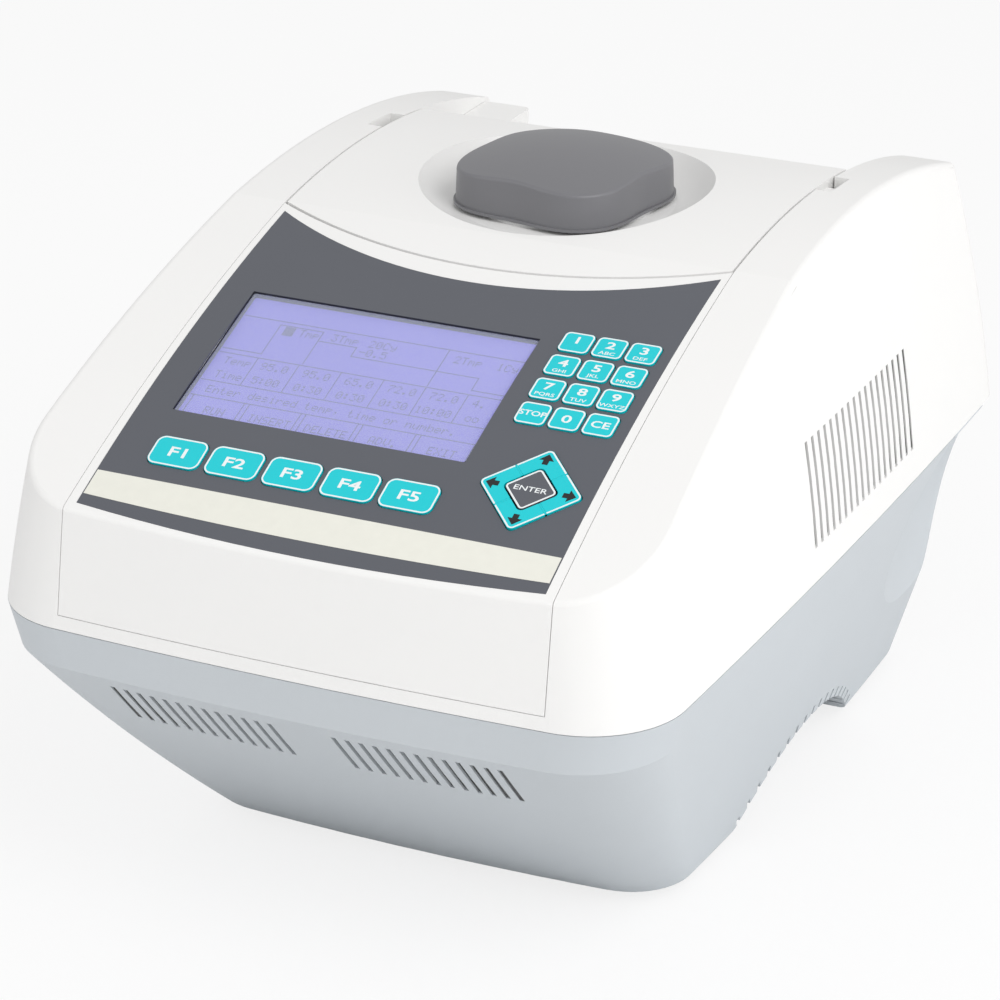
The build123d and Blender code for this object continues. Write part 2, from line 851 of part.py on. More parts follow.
def heated_plate():
    """Lid heater: plate, threaded boss and four guide pins."""
    plate = rounded_block(plate_size, 4.0, plate_bottom, plate_bottom + plate_thick, y=block_centre_y)
    plate = chamfer(plate.edges().group_by(Axis.Z)[0], 0.8)
    plate += disc(boss_r, plate_bottom + plate_thick - 1, boss_top, y=block_centre_y)
    for x, y in guide_places():
        plate += disc(guide_r, plate_bottom + plate_thick - 1, guide_top, x, y)
    return plate - disc(shaft_r + running_gap, shaft_low - plate_travel - 1, boss_top + 1, y=block_centre_y)


def pressure_bridge():
    """Steel bar across the lid's window that guides the heated plate."""
    low = lid_bottom + liner_thick
    bar = rounded_block(bridge_size, 5.0, low, low + bridge_thick, y=block_centre_y)
    bar -= disc(boss_r + parting_gap, low - 1, low + bridge_thick + 1, y=block_centre_y)
    for x, y in guide_places():
        bar -= disc(guide_r + running_gap, low - 1, low + bridge_thick + 1, x, y)
    return bar


def hinge_arms():
    """Two barrels on arms that carry the lid."""
    arms = []
    for side in (-1, 1):
        x_low, x_high = side * barrel_x - barrel_length / 2, side * barrel_x + barrel_length / 2
        barrel = rod_x(barrel_r, x_low, x_high, hinge_y, hinge_z)
        arm = box_between((x_low, lid_rear_y, lid_bottom + 0.5), (x_high, hinge_y, hinge_z + barrel_r))
        bore = rod_x(hinge_pin_r + running_gap, x_low - 1, x_high + 1, hinge_y, hinge_z)
        arms.append(barrel + arm - bore)
    return Compound(children=arms)


def hinge_brackets():
    """Upright ears on the rear deck, one each side of each barrel."""
    brackets = []
    for side in (-1, 1):
        pieces = []
        for end in (-1, 1):
            inner = side * barrel_x + end * (barrel_length / 2 + hinge_gap)
            outer_x = inner + end * ear_width
            low_x, high_x = min(inner, outer_x), max(inner, outer_x)
            block = box_between((low_x, hinge_y - barrel_r, rear_deck_top), (high_x, hinge_y + barrel_r, hinge_z))
            pieces.append(block + rod_x(barrel_r, low_x, high_x, hinge_y, hinge_z))
        low_x = side * barrel_x - barrel_length / 2 - hinge_gap
        foot = box_between((low_x - 0.5, hinge_y + barrel_r + 0.6, rear_deck_top),
                           (side * barrel_x + barrel_length / 2 + hinge_gap + 0.5,
                            hinge_y + barrel_r + 4.0, rear_deck_top + 2.0))
        sides = [box_between((min(p.bounding_box().min.X, p.bounding_box().max.X), hinge_y, rear_deck_top),
                             (p.bounding_box().max.X, hinge_y + barrel_r + 4.0, rear_deck_top + 2.0))
                 for p in pieces]
        bracket = pieces[0] + pieces[1] + sides[0] + sides[1] + foot
        reach = barrel_length / 2 + hinge_gap + ear_width + 1
        bore = rod_x(hinge_pin_r, side * barrel_x - reach, side * barrel_x + reach, hinge_y, hinge_z)
        brackets.append(bracket - bore)
    return Compound(children=brackets)


def hinge_pins():
    """Two steel pins held in the brackets."""
    reach = barrel_length / 2 + hinge_gap + ear_width
    pins = [rod_x(hinge_pin_r, side * barrel_x - reach, side * barrel_x + reach, hinge_y, hinge_z)
            for side in (-1, 1)]
    return Compound(children=pins)


def cable_cover():
    """Cover over the lid's heater cable, beside the left rail."""
    body = box_between((-bay_half_width + 0.2, cover_front_y, rear_deck_top),
                       (-bay_half_width + cover_width, cover_rear_y, cover_top))
    edges = body.edges().filter_by(Axis.Z).group_by(Axis.X)[-1]
    body = fillet(edges, 3.0)
    return body


def block_frame():
    """Frame round the sample block, let into the deck from below."""
    outside = deck_window()
    top = deck_top - 0.2
    body = rounded_block([side - 2 * parting_gap for side in outside], deck_window_r, frame_floor - frame_floor_thick,
                         top, y=block_centre_y)
    body += rounded_block([side + 8 for side in outside], deck_window_r, deck_top - deck_thick - 3.2,
                          deck_top - deck_thick - 0.2, y=block_centre_y)
    body -= rounded_block(recess_size, 4.0, frame_floor, top + 1, y=block_centre_y)
    clear = [side + 2 * parting_gap for side in block_size()]
    body -= rounded_block(clear, 3.0, frame_floor - 10, top + 1, y=block_centre_y)
    return body


def block_size():
    """Plan size of the sample block."""
    return ((well_columns - 1) * well_pitch + 2 * block_margin, (well_rows - 1) * well_pitch + 2 * block_margin)


def sample_block():
    """Aluminium block with a grid of tapered wells."""
    body = rounded_block(block_size(), 2.7, block_top - block_height, block_top, y=block_centre_y)
    well = Pos(0, 0, block_top - well_depth / 2 + 0.01) * Cone(well_bottom_r, well_top_r, well_depth)
    wells = []
    for column in range(well_columns):
        for row in range(well_rows):
            x = (column - (well_columns - 1) / 2) * well_pitch
            y = block_centre_y + (row - (well_rows - 1) / 2) * well_pitch
            wells.append(Pos(x, y, 0) * well)
    return body - wells


def peltier_modules():
    """Six thermoelectric modules between the block and the heatsink."""
    low = block_top - block_height - peltier_thick
    modules = []
    for column in (-1, 0, 1):
        for row in (-0.5, 0.5):
            x, y = column * peltier_pitch, block_centre_y + row * peltier_pitch
            modules.append(rounded_block((peltier_size, peltier_size), 1.0, low, low + peltier_thick, x, y))
    return Compound(children=modules)


def heatsink():
    """Finned aluminium heatsink that stands on the platform."""
    top = block_top - block_height - peltier_thick
    low_y, high_y = block_centre_y - sink_size[1] / 2, block_centre_y + sink_size[1] / 2
    body = box_between((-sink_size[0] / 2, low_y, top - sink_base), (sink_size[0] / 2, high_y, top))
    for i in range(fin_count):
        x = -sink_size[0] / 2 + fin_thick / 2 + i * (sink_size[0] - fin_thick) / (fin_count - 1)
        body += box_between((x - fin_thick / 2, low_y, platform_top), (x + fin_thick / 2, high_y, top - sink_base))
    return body


def fan_axis_z():
    """Height of the fan's axis."""
    return platform_top + fan_size / 2


def fan_housing():
    """Square fan frame with a round duct and a motor mount on four struts."""
    z = fan_axis_z()
    plane = Plane(origin=(0, fan_y + fan_thick / 2, z), x_dir=(1, 0, 0), z_dir=(0, -1, 0))
    frame = extrude(plane * RectangleRounded(fan_size, fan_size, 4.0), amount=fan_thick)
    frame -= extrude(plane * Circle(rotor_r + 1.5), amount=fan_thick)
    mount = extrude(plane * Circle(rotor_hub_r), amount=strut_thick)
    for angle in (45, 135):
        strut = Rot(0, 0, angle) * Rectangle(2 * rotor_r + 4, 4.0)
        mount += extrude(plane * strut, amount=strut_thick)
    return frame + mount


def fan_rotor():
    """Hub with pitched blades that turns about Y."""
    plane = Plane(origin=(0, fan_y + fan_thick / 2 - strut_thick - 0.4, fan_axis_z()), x_dir=(1, 0, 0),
                  z_dir=(0, -1, 0))
    rotor_depth = fan_thick - strut_thick - 1.5
    hub = extrude(plane * Circle(rotor_hub_r), amount=rotor_depth)
    length = rotor_r - rotor_hub_r + 1
    for i in range(blade_count):
        blade = Box(length, 1.6, rotor_depth - 5)
        blade = Pos(rotor_hub_r - 1 + length / 2, 0, rotor_depth / 2) * Rot(32, 0, 0) * blade
        hub += plane.location * Rot(0, 0, 360 * i / blade_count) * blade
    return hub


def support_platform():
    """Steel shelf that carries the heatsink, the fan and the main board."""
    return rounded_block(platform_size, 8.0, platform_top - platform_thick, platform_top, y=platform_y)


def platform_posts():
    """Posts between the base's floor and the platform."""
    posts = []
    for x in (-post_x, post_x):
        for y in (post_front_y, post_rear_y):
            posts.append(disc(post_r, -base_depth + wall, platform_top - platform_thick, x, y))
    return Compound(children=posts)


def power_supply():
    """Sheet-metal case of the supply, on the base's floor."""
    low = -base_depth + wall
    half_x, half_y = supply_size[0] / 2, supply_size[1] / 2
    body = box_between((-half_x, supply_y - half_y, low), (half_x, supply_y + half_y, low + supply_size[2]))
    body = fillet(body.edges().filter_by(Axis.Z), 2.0)
    low_in = (-half_x + case_wall, supply_y - half_y + case_wall, low + case_wall)
    high_in = (half_x - case_wall, supply_y + half_y - case_wall, low + supply_size[2] - case_wall)
    return body - box_between(low_in, high_in)


def main_board():
    """Control board on standoffs, with its main parts."""
    low = platform_top + board_lift
    board = rounded_block(board_size, 2.0, low, low + board_thick, y=board_y)
    for x in (-1, 1):
        for y in (-1, 1):
            place = (x * (board_size[0] / 2 - 6), board_y + y * (board_size[1] / 2 - 6))
            board += disc(3.0, platform_top, low, *place)
    top = low + board_thick
    for x, y, size in ((-40, 10, (28, 28, 4)), (20, -14, (18, 40, 9)), (52, 16, (22, 16, 14))):
        board += Pos(x, board_y + y, top + size[2] / 2) * Box(*size)
    return board


def power_plate():
    """Metal plate at the inner end of the rear pocket, cut for the inlet and the switch."""
    half_x, half_z = power_size[0] / 2 + power_border, power_size[1] / 2 + power_border
    plate = box_between((-half_x, power_face_y - power_plate_thick, power_z - half_z),
                        (half_x, power_face_y, power_z + half_z))
    for x, size in ((inlet_x, inlet_size), (switch_x, switch_size)):
        hole = Pos(x, power_face_y, power_z) * Box(size[0] + 0.4, 4 * power_plate_thick, size[1] + 0.4)
        plate -= hole
    return plate


def power_inlet():
    """Appliance inlet with its socket and three pins."""
    y = power_face_y
    flange = Pos(inlet_x, y + 1.0, power_z) * Box(inlet_size[0] + 5, 2.0, inlet_size[1] + 5)
    body = Pos(inlet_x, y + 2 - (inlet_depth + 5) / 2, power_z) * Box(inlet_size[0], inlet_depth + 5, inlet_size[1])
    cavity = Pos(inlet_x, y + 2 - inlet_depth / 2 + 0.5, power_z) * Box(inlet_size[0] - 3, inlet_depth + 1,
                                                                     inlet_size[1] - 3)
    shell = flange + body - cavity
    back_y = y + 2 - inlet_depth
    for x, z in ((-7, -1.5), (0, 2.5), (7, -1.5)):
        pin = Pos(inlet_x + x, back_y + inlet_pin_length / 2, power_z + z) * Box(2.0, inlet_pin_length, 4.0)
        shell += pin
    return shell


def switch_bezel():
    """Frame of the power switch."""
    y = power_face_y
    flange = Pos(switch_x, y + 0.8, power_z) * Box(switch_size[0] + 4, 1.6, switch_size[1] + 4)
    body = Pos(switch_x, y - 6.0, power_z) * Box(switch_size[0], 15.2, switch_size[1])
    cavity = Pos(switch_x, y, power_z) * Box(switch_size[0] - 2.4, 24.0, switch_size[1] - 2.4)
    back = Pos(switch_x, y - 13.0, power_z) * Box(switch_size[0], 1.2, switch_size[1])
    return (flange + body - cavity) + back


def power_rocker():
    """Rocker of the power switch, resting tilted to its off side."""
    half_x = switch_size[0] / 2 - 1.2 - key_gap
    half_z = switch_size[1] / 2 - 1.2 - 0.9
    profile = make_face(Polyline((-3.0, -half_z), (2.2, -half_z), (1.0, 0), (2.2, half_z), (-3.0, half_z),
                                 (-6.0, 0), close=True))
    body = extrude(Plane.YZ * profile, amount=half_x, both=True)
    return Pos(switch_x, power_face_y + 0.6, power_z) * Rot(rocker_tilt, 0, 0) * body


def housing_screws():
    """Screws that come up through the underside into the posts."""
    screws = []
    for x in (-post_x, post_x):
        for y in (post_front_y + 16, post_rear_y - 16):
            head = disc(screw_head_r, -base_depth - 1.5, -base_depth, x - math.copysign(8, x), y)
            screws.append(fillet(head.edges().group_by(Axis.Z)[0], 0.6))
    return Compound(children=screws)


def save(name, shape):
    """Raise a piece to its real height and write it."""
    export_step(Pos(0, 0, seam_height) * shape, os.path.join("parts", f"{name}.step"))


def main():
    """Build every piece and write one file for each."""
    os.makedirs("parts", exist_ok=True)
    outer = rounded_envelope()
    inner = envelope(wall, -1.0)
    panel, overlay = front_panel_parts(outer, inner)
    glass, module = display_parts()
    pieces = {
        "base_tub": base_tub(),
        "rubber_feet": feet(),
        "upper_housing": upper_housing(outer, inner),
        "front_panel": panel,
        "keypad_overlay": overlay,
        "display_glass": glass,
        "display_module": module,
        "keypad_backplate": keypad_backplate(),
        "lid_shell": lid_shell(outer),
        "lid_liner": lid_liner(),
        "lid_gasket": lid_gasket(),
        "pressure_bridge": pressure_bridge(),
        "knob_seat_ring": knob_seat_ring(),
        "pressure_knob": pressure_knob(),
        "knob_shaft": knob_shaft(),
        "heated_plate": heated_plate(),
        "hinge_arms": hinge_arms(),
        "hinge_brackets": hinge_brackets(),
        "hinge_pins": hinge_pins(),
        "cable_cover": cable_cover(),
        "block_frame": block_frame(),
        "sample_block": sample_block(),
        "peltier_modules": peltier_modules(),
        "heatsink": heatsink(),
        "fan_housing": fan_housing(),
        "fan_rotor": fan_rotor(),
        "support_platform": support_platform(),
        "platform_posts": platform_posts(),
        "power_supply": power_supply(),
        "main_board": main_board(),
        "power_plate": power_plate(),
        "power_inlet": power_inlet(),
        "switch_bezel": switch_bezel(),
        "power_rocker": power_rocker(),
        "housing_screws": housing_screws(),
        "key_enter": raised(diamond(enter_half, nav_corner_r - 0.5), *nav_centre, key_proud - key_thick, key_proud),
    }
    pieces.update(arrow_keys())
    for name, x, s, size, corner_r in key_outlines():
        pieces[name] = plain_key(x, s, size, corner_r)
    for name, shape in pieces.items():
        save(name, shape)


if __name__ == "__main__":
    main()
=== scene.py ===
import logging
import math
from collections.abc import Iterable, Sequence
from dataclasses import dataclass
from enum import Enum

import bmesh
import bpy
from mathutils import Euler, Matrix, Vector


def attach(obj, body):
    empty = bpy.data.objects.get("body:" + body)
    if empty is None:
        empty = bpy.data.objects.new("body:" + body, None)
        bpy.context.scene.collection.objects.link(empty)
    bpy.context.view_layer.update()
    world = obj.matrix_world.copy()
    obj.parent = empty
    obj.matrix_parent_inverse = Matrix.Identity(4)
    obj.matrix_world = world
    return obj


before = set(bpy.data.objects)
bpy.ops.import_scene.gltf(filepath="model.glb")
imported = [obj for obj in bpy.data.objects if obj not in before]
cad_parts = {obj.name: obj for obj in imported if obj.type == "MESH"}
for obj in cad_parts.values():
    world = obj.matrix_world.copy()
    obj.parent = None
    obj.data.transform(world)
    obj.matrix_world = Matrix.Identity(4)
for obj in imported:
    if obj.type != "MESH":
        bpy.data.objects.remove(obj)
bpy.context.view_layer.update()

LOG = logging.getLogger("thermal_cycler")
CHASSIS = "chassis"
Point2 = tuple[float, float]
Point3 = tuple[float, float, float]
Colour = Point3
Loop = list[Point2]

# Lengths below are in millimetres unless their words say metres; MM turns them into metres.
MM = 0.001
# Height of the seam between base and housing.
SEAM = 124.0
# Points that a rounded outline has in each corner, less one.
CORNER_STEPS = 6
# How far a border of width one reaches into a square corner.
MITRE = 1.414
# Share of a font's size that its capitals fill, and segments in each curve of a letter.
CAPITAL_SHARE = 0.7
LETTER_STEPS = 3


# Shader maths


class Link:
    """A shader value that Python's operators work on."""

    def __init__(self, tree: "Tree", socket: bpy.types.NodeSocket) -> None:
        """Keep the tree and the socket.

        Args:
            tree: the node tree the socket is in.
            socket: the output socket.
        """
        self.tree = tree
        self.socket = socket

    def _do(self, operation: str, first: "Link | float", second: "Link | float") -> "Link":
        """Add one Math node for the operation."""
        return self.tree.node("ShaderNodeMath", {"operation": operation}, {0: first, 1: second})

    def __add__(self, other: "Link | float") -> "Link":
        """self + other."""
        return self._do("ADD", self, other)

    def __radd__(self, other: "Link | float") -> "Link":
        """other + self."""
        return self._do("ADD", other, self)

    def __sub__(self, other: "Link | float") -> "Link":
        """self - other."""
        return self._do("SUBTRACT", self, other)

    def __rsub__(self, other: "Link | float") -> "Link":
        """other - self."""
        return self._do("SUBTRACT", other, self)

    def __mul__(self, other: "Link | float") -> "Link":
        """self * other."""
        return self._do("MULTIPLY", self, other)

    def __rmul__(self, other: "Link | float") -> "Link":
        """other * self."""
        return self._do("MULTIPLY", other, self)


class Tree:
    """One material's node tree."""

    def __init__(self, name: str) -> None:
        """Make a new material.

        Args:
            name: the material's name.
        """
        self.material = bpy.data.materials.new(name)
        self.material.use_nodes = True
        self.nodes = self.material.node_tree.nodes
        self.links = self.material.node_tree.links
        self.nodes.clear()

    def node(self, kind: str, settings: dict[str, object] | None = None,
             inputs: dict[int | str, object] | None = None, output: int | str = 0) -> Link:
        """Add any node.

        Args:
            kind: the node's type.
            settings: attributes of the node, set before its inputs.
            inputs: a value or a Link for each input, by name or number.
            output: the name or number of the output to return.

        Returns:
            The chosen output.
        """
        made = self.nodes.new(kind)
        for key, value in (settings or {}).items():
            setattr(made, key, value)
        for key, value in (inputs or {}).items():
            socket = made.inputs[key]
            if isinstance(value, Link):
                self.links.new(value.socket, socket)
            elif socket.type == "RGBA":
                socket.default_value = (*value, 1.0)
            else:
                socket.default_value = value
        return Link(self, made.outputs[output])

    def place(self) -> Link:
        """The piece's own coordinates, in metres."""
        return self.node("ShaderNodeTexCoord", output="Object")

    def noise(self, scale: float, detail: float = 2.0, stretch: Point3 = (1, 1, 1)) -> Link:
        """Noise over the piece.

        Args:
            scale: cells per metre.
            detail: octaves.
            stretch: scale along each axis.

        Returns:
            A value from 0 to 1.
        """
        where = self.node("ShaderNodeMapping", {}, {"Vector": self.place(), "Scale": stretch})
        return self.node("ShaderNodeTexNoise", {},
                         {"Vector": where, "Scale": scale, "Detail": detail})

    def blend(self, share: Link | float, first: Link | Colour, second: Link | Colour) -> Link:
        """Mix two colours.

        Args:
            share: how much of the second, 0 to 1.
            first: the first colour.
            second: the second colour.

        Returns:
            The mixed colour.
        """
        return self.node("ShaderNodeMix", {"data_type": "RGBA"}, {0: share, 6: first, 7: second},
                         output=2)

    def bump(self, height: Link, depth: float) -> Link:
        """A bumped normal.

        Args:
            height: the height, 0 to 1.
            depth: the height of 1, in millimetres.

        Returns:
            The normal.
        """
        return self.node("ShaderNodeBump", {},
                         {"Height": height, "Distance": depth * MM, "Strength": 1.0})

    def surface(self, shader: Link) -> bpy.types.Material:
        """Send a shader to the material's surface.

        Args:
            shader: the finished shader.

        Returns:
            The material.
        """
        out = self.nodes.new("ShaderNodeOutputMaterial")
        self.links.new(shader.socket, out.inputs["Surface"])
        return self.material

    def close(self, inputs: dict[int | str, object]) -> bpy.types.Material:
        """Finish with a Principled shader that has these inputs."""
        return self.surface(self.node("ShaderNodeBsdfPrincipled", {}, inputs))


def scaled(colour: Colour, share: float) -> Colour:
    """The colour, made darker by a share below 1."""
    return tuple(channel * share for channel in colour)


# Finishes


@dataclass(frozen=True)
class Moulded:
    """Moulded plastic with a fine spark texture and faint flow marks.

    grain and depth are the size and height of a spark, flow is the flow marks per metre, tone
    how much darker they are, and the spans are how far each changes the roughness.
    """

    name: str
    colour: Colour
    roughness: float = 0.45
    grain: float = 0.5
    depth: float = 0.012
    tone: float = 0.03
    flow: float = 18.0
    fine_span: float = 0.12
    broad_span: float = 0.06

    def make(self) -> bpy.types.Material:
        """Build the material.

        Returns:
            The material.
        """
        tree = Tree(self.name)
        broad = tree.noise(self.flow, 3.0)
        fine = tree.noise(1.0 / MM / self.grain)
        rough = self.roughness + (fine - 0.5) * self.fine_span + (broad - 0.5) * self.broad_span
        return tree.close({
            "Base Color": tree.blend(broad, self.colour, scaled(self.colour, 1 - self.tone)),
            "Roughness": rough, "Normal": tree.bump(fine, self.depth)})


@dataclass(frozen=True)
class Metal:
    """Bare or plated metal with a brushed or cast surface.

    brush draws the marks out along each axis, and depth is their height. marks and blotches
    are per metre, dull is the brightness of a blotch, and span the change of roughness.
    """

    name: str
    colour: Colour
    roughness: float = 0.32
    brush: Point3 = (1, 40, 40)
    depth: float = 0.004
    marks: float = 60.0
    blotches: float = 25.0
    dull: float = 0.86
    span: float = 0.2

    def make(self) -> bpy.types.Material:
        """Build the material.

        Returns:
            The material.
        """
        tree = Tree(self.name)
        lines = tree.noise(self.marks, 4.0, self.brush)
        blotch = tree.noise(self.blotches)
        return tree.close({
            "Base Color": tree.blend(blotch, self.colour, scaled(self.colour, self.dull)),
            "Metallic": 1.0, "Roughness": self.roughness + (lines - 0.5) * self.span,
            "Normal": tree.bump(lines, self.depth)})


@dataclass(frozen=True)
class Ink:
    """Printed ink or a thin coloured film.

    clouds is how many thick places a metre has, shade their brightness, and span how far
    they change the roughness.
    """

    name: str
    colour: Colour
    roughness: float = 0.4
    clouds: float = 220.0
    shade: float = 0.94
    span: float = 0.08

    def make(self) -> bpy.types.Material:
        """Build the material.

        Returns:
            The material.
        """
        tree = Tree(self.name)
        cloud = tree.noise(self.clouds)
        return tree.close({
            "Base Color": tree.blend(cloud, self.colour, scaled(self.colour, self.shade)),
            "Roughness": self.roughness + (cloud - 0.5) * self.span})


@dataclass(frozen=True)
class Backlight:
    """Lit display with a slightly uneven backlight.

    low and high are the weaker and the stronger light. clouds and pixels are variations per
    metre, and unlit is how much darker the surface is than its light.
    """

    name: str
    low: Colour
    high: Colour
    strength: float
    clouds: float = 14.0
    pixels: float = 900.0
    cloud_share: float = 0.7
    unlit: float = 0.7
    roughness: float = 0.35

    def make(self) -> bpy.types.Material:
        """Build the material.

        Returns:
            The material.
        """
        tree = Tree(self.name)
        broad = tree.noise(self.clouds, 1.0) * self.cloud_share
        fine = tree.noise(self.pixels, 1.0) * (1 - self.cloud_share)
        colour = tree.blend(broad + fine, self.low, self.high)
        return tree.close({
            "Base Color": tree.blend(self.unlit, colour, (0, 0, 0)), "Roughness": self.roughness,
            "Emission Color": colour, "Emission Strength": self.strength})


@dataclass(frozen=True)
class Glazing:
    """Clear display window with a faint smear.

    tint is the colour of what shows through, gloss that of the surface, smears are per
    metre, span is how far they add to the roughness, and bend is the index of refraction.
    """

    name: str
    tint: Colour = (0.97, 0.97, 1.0)
    gloss: Colour = (0.02, 0.02, 0.03)
    roughness: float = 0.08
    span: float = 0.08
    smears: float = 40.0
    bend: float = 1.35

    def make(self) -> bpy.types.Material:
        """Build the material.

        Returns:
            The material.
        """
        tree = Tree(self.name)
        rough = self.roughness + tree.noise(self.smears) * self.span
        clear = tree.node("ShaderNodeBsdfTransparent", {}, {"Color": self.tint})
        gloss = tree.node("ShaderNodeBsdfPrincipled", {},
                          {"Base Color": self.gloss, "Roughness": rough})
        share = tree.node("ShaderNodeFresnel", {}, {"IOR": self.bend})
        return tree.surface(tree.node("ShaderNodeMixShader", {}, {0: share, 1: clear, 2: gloss}))


class Finish(Enum):
    """Every finish of the cycler."""

    WHITE = Moulded("white_shell", (0.85, 0.845, 0.835), 0.42, 0.6, 0.010, 0.02)
    GREY = Moulded("grey_base", (0.56, 0.595, 0.625), 0.5, 0.6, 0.014, 0.03)
    SLATE = Moulded("slate_overlay", (0.098, 0.104, 0.122), 0.5, 0.25, 0.004, 0.06)
    CREAM = Ink("cream_stripe", (0.80, 0.795, 0.72), 0.42)
    CYAN = Moulded("cyan_key", (0.0, 0.58, 0.64), 0.38, 0.25, 0.003, 0.03)
    PRINT = Ink("white_print", (0.85, 0.88, 0.88), 0.4)
    BLACK_PRINT = Ink("black_print", (0.008, 0.009, 0.01), 0.45)
    KNOB = Moulded("knob_grey", (0.155, 0.157, 0.165), 0.44, 0.5, 0.012, 0.05)
    RING = Moulded("seat_ring", (0.60, 0.60, 0.60), 0.3, 0.5, 0.004, 0.03)
    LINER = Moulded("liner_grey", (0.30, 0.31, 0.33), 0.5, 0.5, 0.012)
    BLACK = Moulded("black_plastic", (0.02, 0.02, 0.022), 0.42, 0.5, 0.01)
    RUBBER = Moulded("soft_rubber", (0.025, 0.025, 0.027), 0.75, 0.8, 0.03)
    BOARD = Moulded("solder_mask", (0.02, 0.16, 0.07), 0.35, 0.7, 0.006)
    CERAMIC = Moulded("ceramic", (0.82, 0.82, 0.79), 0.5, 0.4, 0.006)
    STEEL = Metal("brushed_steel", (0.58, 0.58, 0.60), 0.3)
    ALUMINIUM = Metal("machined_aluminium", (0.78, 0.79, 0.80), 0.35, (30, 30, 1))
    CAST = Metal("cast_aluminium", (0.55, 0.56, 0.58), 0.5, (8, 8, 8), 0.02)
    ZINC = Metal("zinc_sheet", (0.62, 0.63, 0.65), 0.42, (3, 3, 3))
    GLASS = Glazing("display_glass")
    LCD = Backlight("lcd_backlight", (0.115, 0.09, 0.60), (0.185, 0.15, 0.74), 0.75)
    LCD_DOT = Ink("lcd_dot", (0.03, 0.025, 0.26), 0.4)

    def material(self) -> bpy.types.Material:
        """The finish's material, made once."""
        return bpy.data.materials.get(self.value.name) or self.value.make()


CAD_FINISHES: dict[Finish, Sequence[str]] = {
    Finish.WHITE: ("upper_housing", "front_panel", "lid_shell", "cable_cover"),
    Finish.GREY: ("base_tub",),
    Finish.SLATE: ("keypad_overlay", "key_enter"),
    Finish.CYAN: ("key_up", "key_down", "key_left", "key_right", "key_stop", "key_clear",
                  *(f"key_{i}" for i in range(10)), *(f"key_f{i}" for i in range(1, 6))),
    Finish.KNOB: ("pressure_knob",),
    Finish.RING: ("knob_seat_ring",),
    Finish.LINER: ("lid_liner", "block_frame"),
    Finish.BLACK: ("keypad_backplate", "display_module", "fan_housing", "fan_rotor",
                   "power_inlet", "switch_bezel", "power_rocker"),
    Finish.RUBBER: ("rubber_feet", "lid_gasket"),
    Finish.BOARD: ("main_board",),
    Finish.CERAMIC: ("peltier_modules",),
    Finish.STEEL: ("pressure_bridge", "hinge_pins", "knob_shaft", "housing_screws"),
    Finish.ALUMINIUM: ("sample_block", "heatsink", "heated_plate"),
    Finish.CAST: ("hinge_arms", "hinge_brackets"),
    Finish.ZINC: ("support_platform", "platform_posts", "power_supply", "power_plate"),
    Finish.GLASS: ("display_glass",),
}


# Objects, meshes and outlines


def add_object(name: str, data: bpy.types.ID) -> bpy.types.Object:
    """Make an object and put it in the scene.

    Args:
        name: the object's name.
        data: its mesh, curve, camera or lamp.

    Returns:
        The object.
    """
    made = bpy.data.objects.new(name, data)
    bpy.context.scene.collection.objects.link(made)
    return made


def plain_mesh(holder: bpy.types.Object) -> bpy.types.Mesh:
    """Turn what an object shows into a plain mesh, and remove the object.

    Args:
        holder: lettering, or an object with a modifier.

    Returns:
        The mesh.
    """
    graph = bpy.context.evaluated_depsgraph_get()
    mesh = bpy.data.meshes.new_from_object(holder.evaluated_get(graph))
    bpy.data.objects.remove(holder)
    return mesh


def new_piece(name: str, mesh: bpy.types.Mesh, finishes: Iterable[Finish],
              body: str) -> bpy.types.Object:
    """Add a piece that rides on a body.

    Args:
        name: the piece's name.
        mesh: its mesh, in place.
        finishes: a finish for each material index.
        body: the CAD body it rides on.

    Returns:
        The object.
    """
    if mesh.materials:
        mesh.materials.clear()
    for finish in finishes:
        mesh.materials.append(finish.material())
    piece = add_object(name, mesh)
    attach(piece, body)
    LOG.info("%s: %d faces", name, len(mesh.polygons))
    return piece


def mesh_from(build: bmesh.types.BMesh, name: str) -> bpy.types.Mesh:
    """Turn a bmesh into a mesh and free it.

    Args:
        build: the bmesh, with its faces in any direction.
        name: the mesh's name.

    Returns:
        The mesh, with its faces outwards.
    """
    bmesh.ops.recalc_face_normals(build, faces=build.faces[:])
    mesh = bpy.data.meshes.new(name)
    build.to_mesh(mesh)
    build.free()
    return mesh


def rounded_loop(width: float, height: float, radius: float, steps: int = CORNER_STEPS) -> Loop:
    """Outline of a rounded rectangle.

    Args:
        width: full width.
        height: full height.
        radius: corner radius.
        steps: segments in each corner.

    Returns:
        Points, anticlockwise from the lower right corner.
    """
    points = []
    for corner, (sx, sy) in enumerate(((1, -1), (1, 1), (-1, 1), (-1, -1))):
        cx, cy = sx * (width / 2 - radius), sy * (height / 2 - radius)
        for i in range(steps + 1):
            angle = math.radians(-90 + 90 * corner + 90 * i / steps)
            points.append((cx + radius * math.cos(angle), cy + radius * math.sin(angle)))
    return points


def turned(loop: Loop, degrees: float) -> Loop:
    """The outline turned about the origin."""
    c, s = math.cos(math.radians(degrees)), math.sin(math.radians(degrees))
    return [(c * x - s * y, s * x + c * y) for x, y in loop]


def shifted(loop: Iterable[Point2], across: float, up: float = 0.0) -> Loop:
    """The outline moved along its X and Y."""
    return [(x + across, y + up) for x, y in loop]


def mirrored(place: Point3, side: int) -> Vector:
    """The place, or its mirror image where side is -1."""
    return Vector((side * place[0], place[1], place[2]))


# The panel's slope


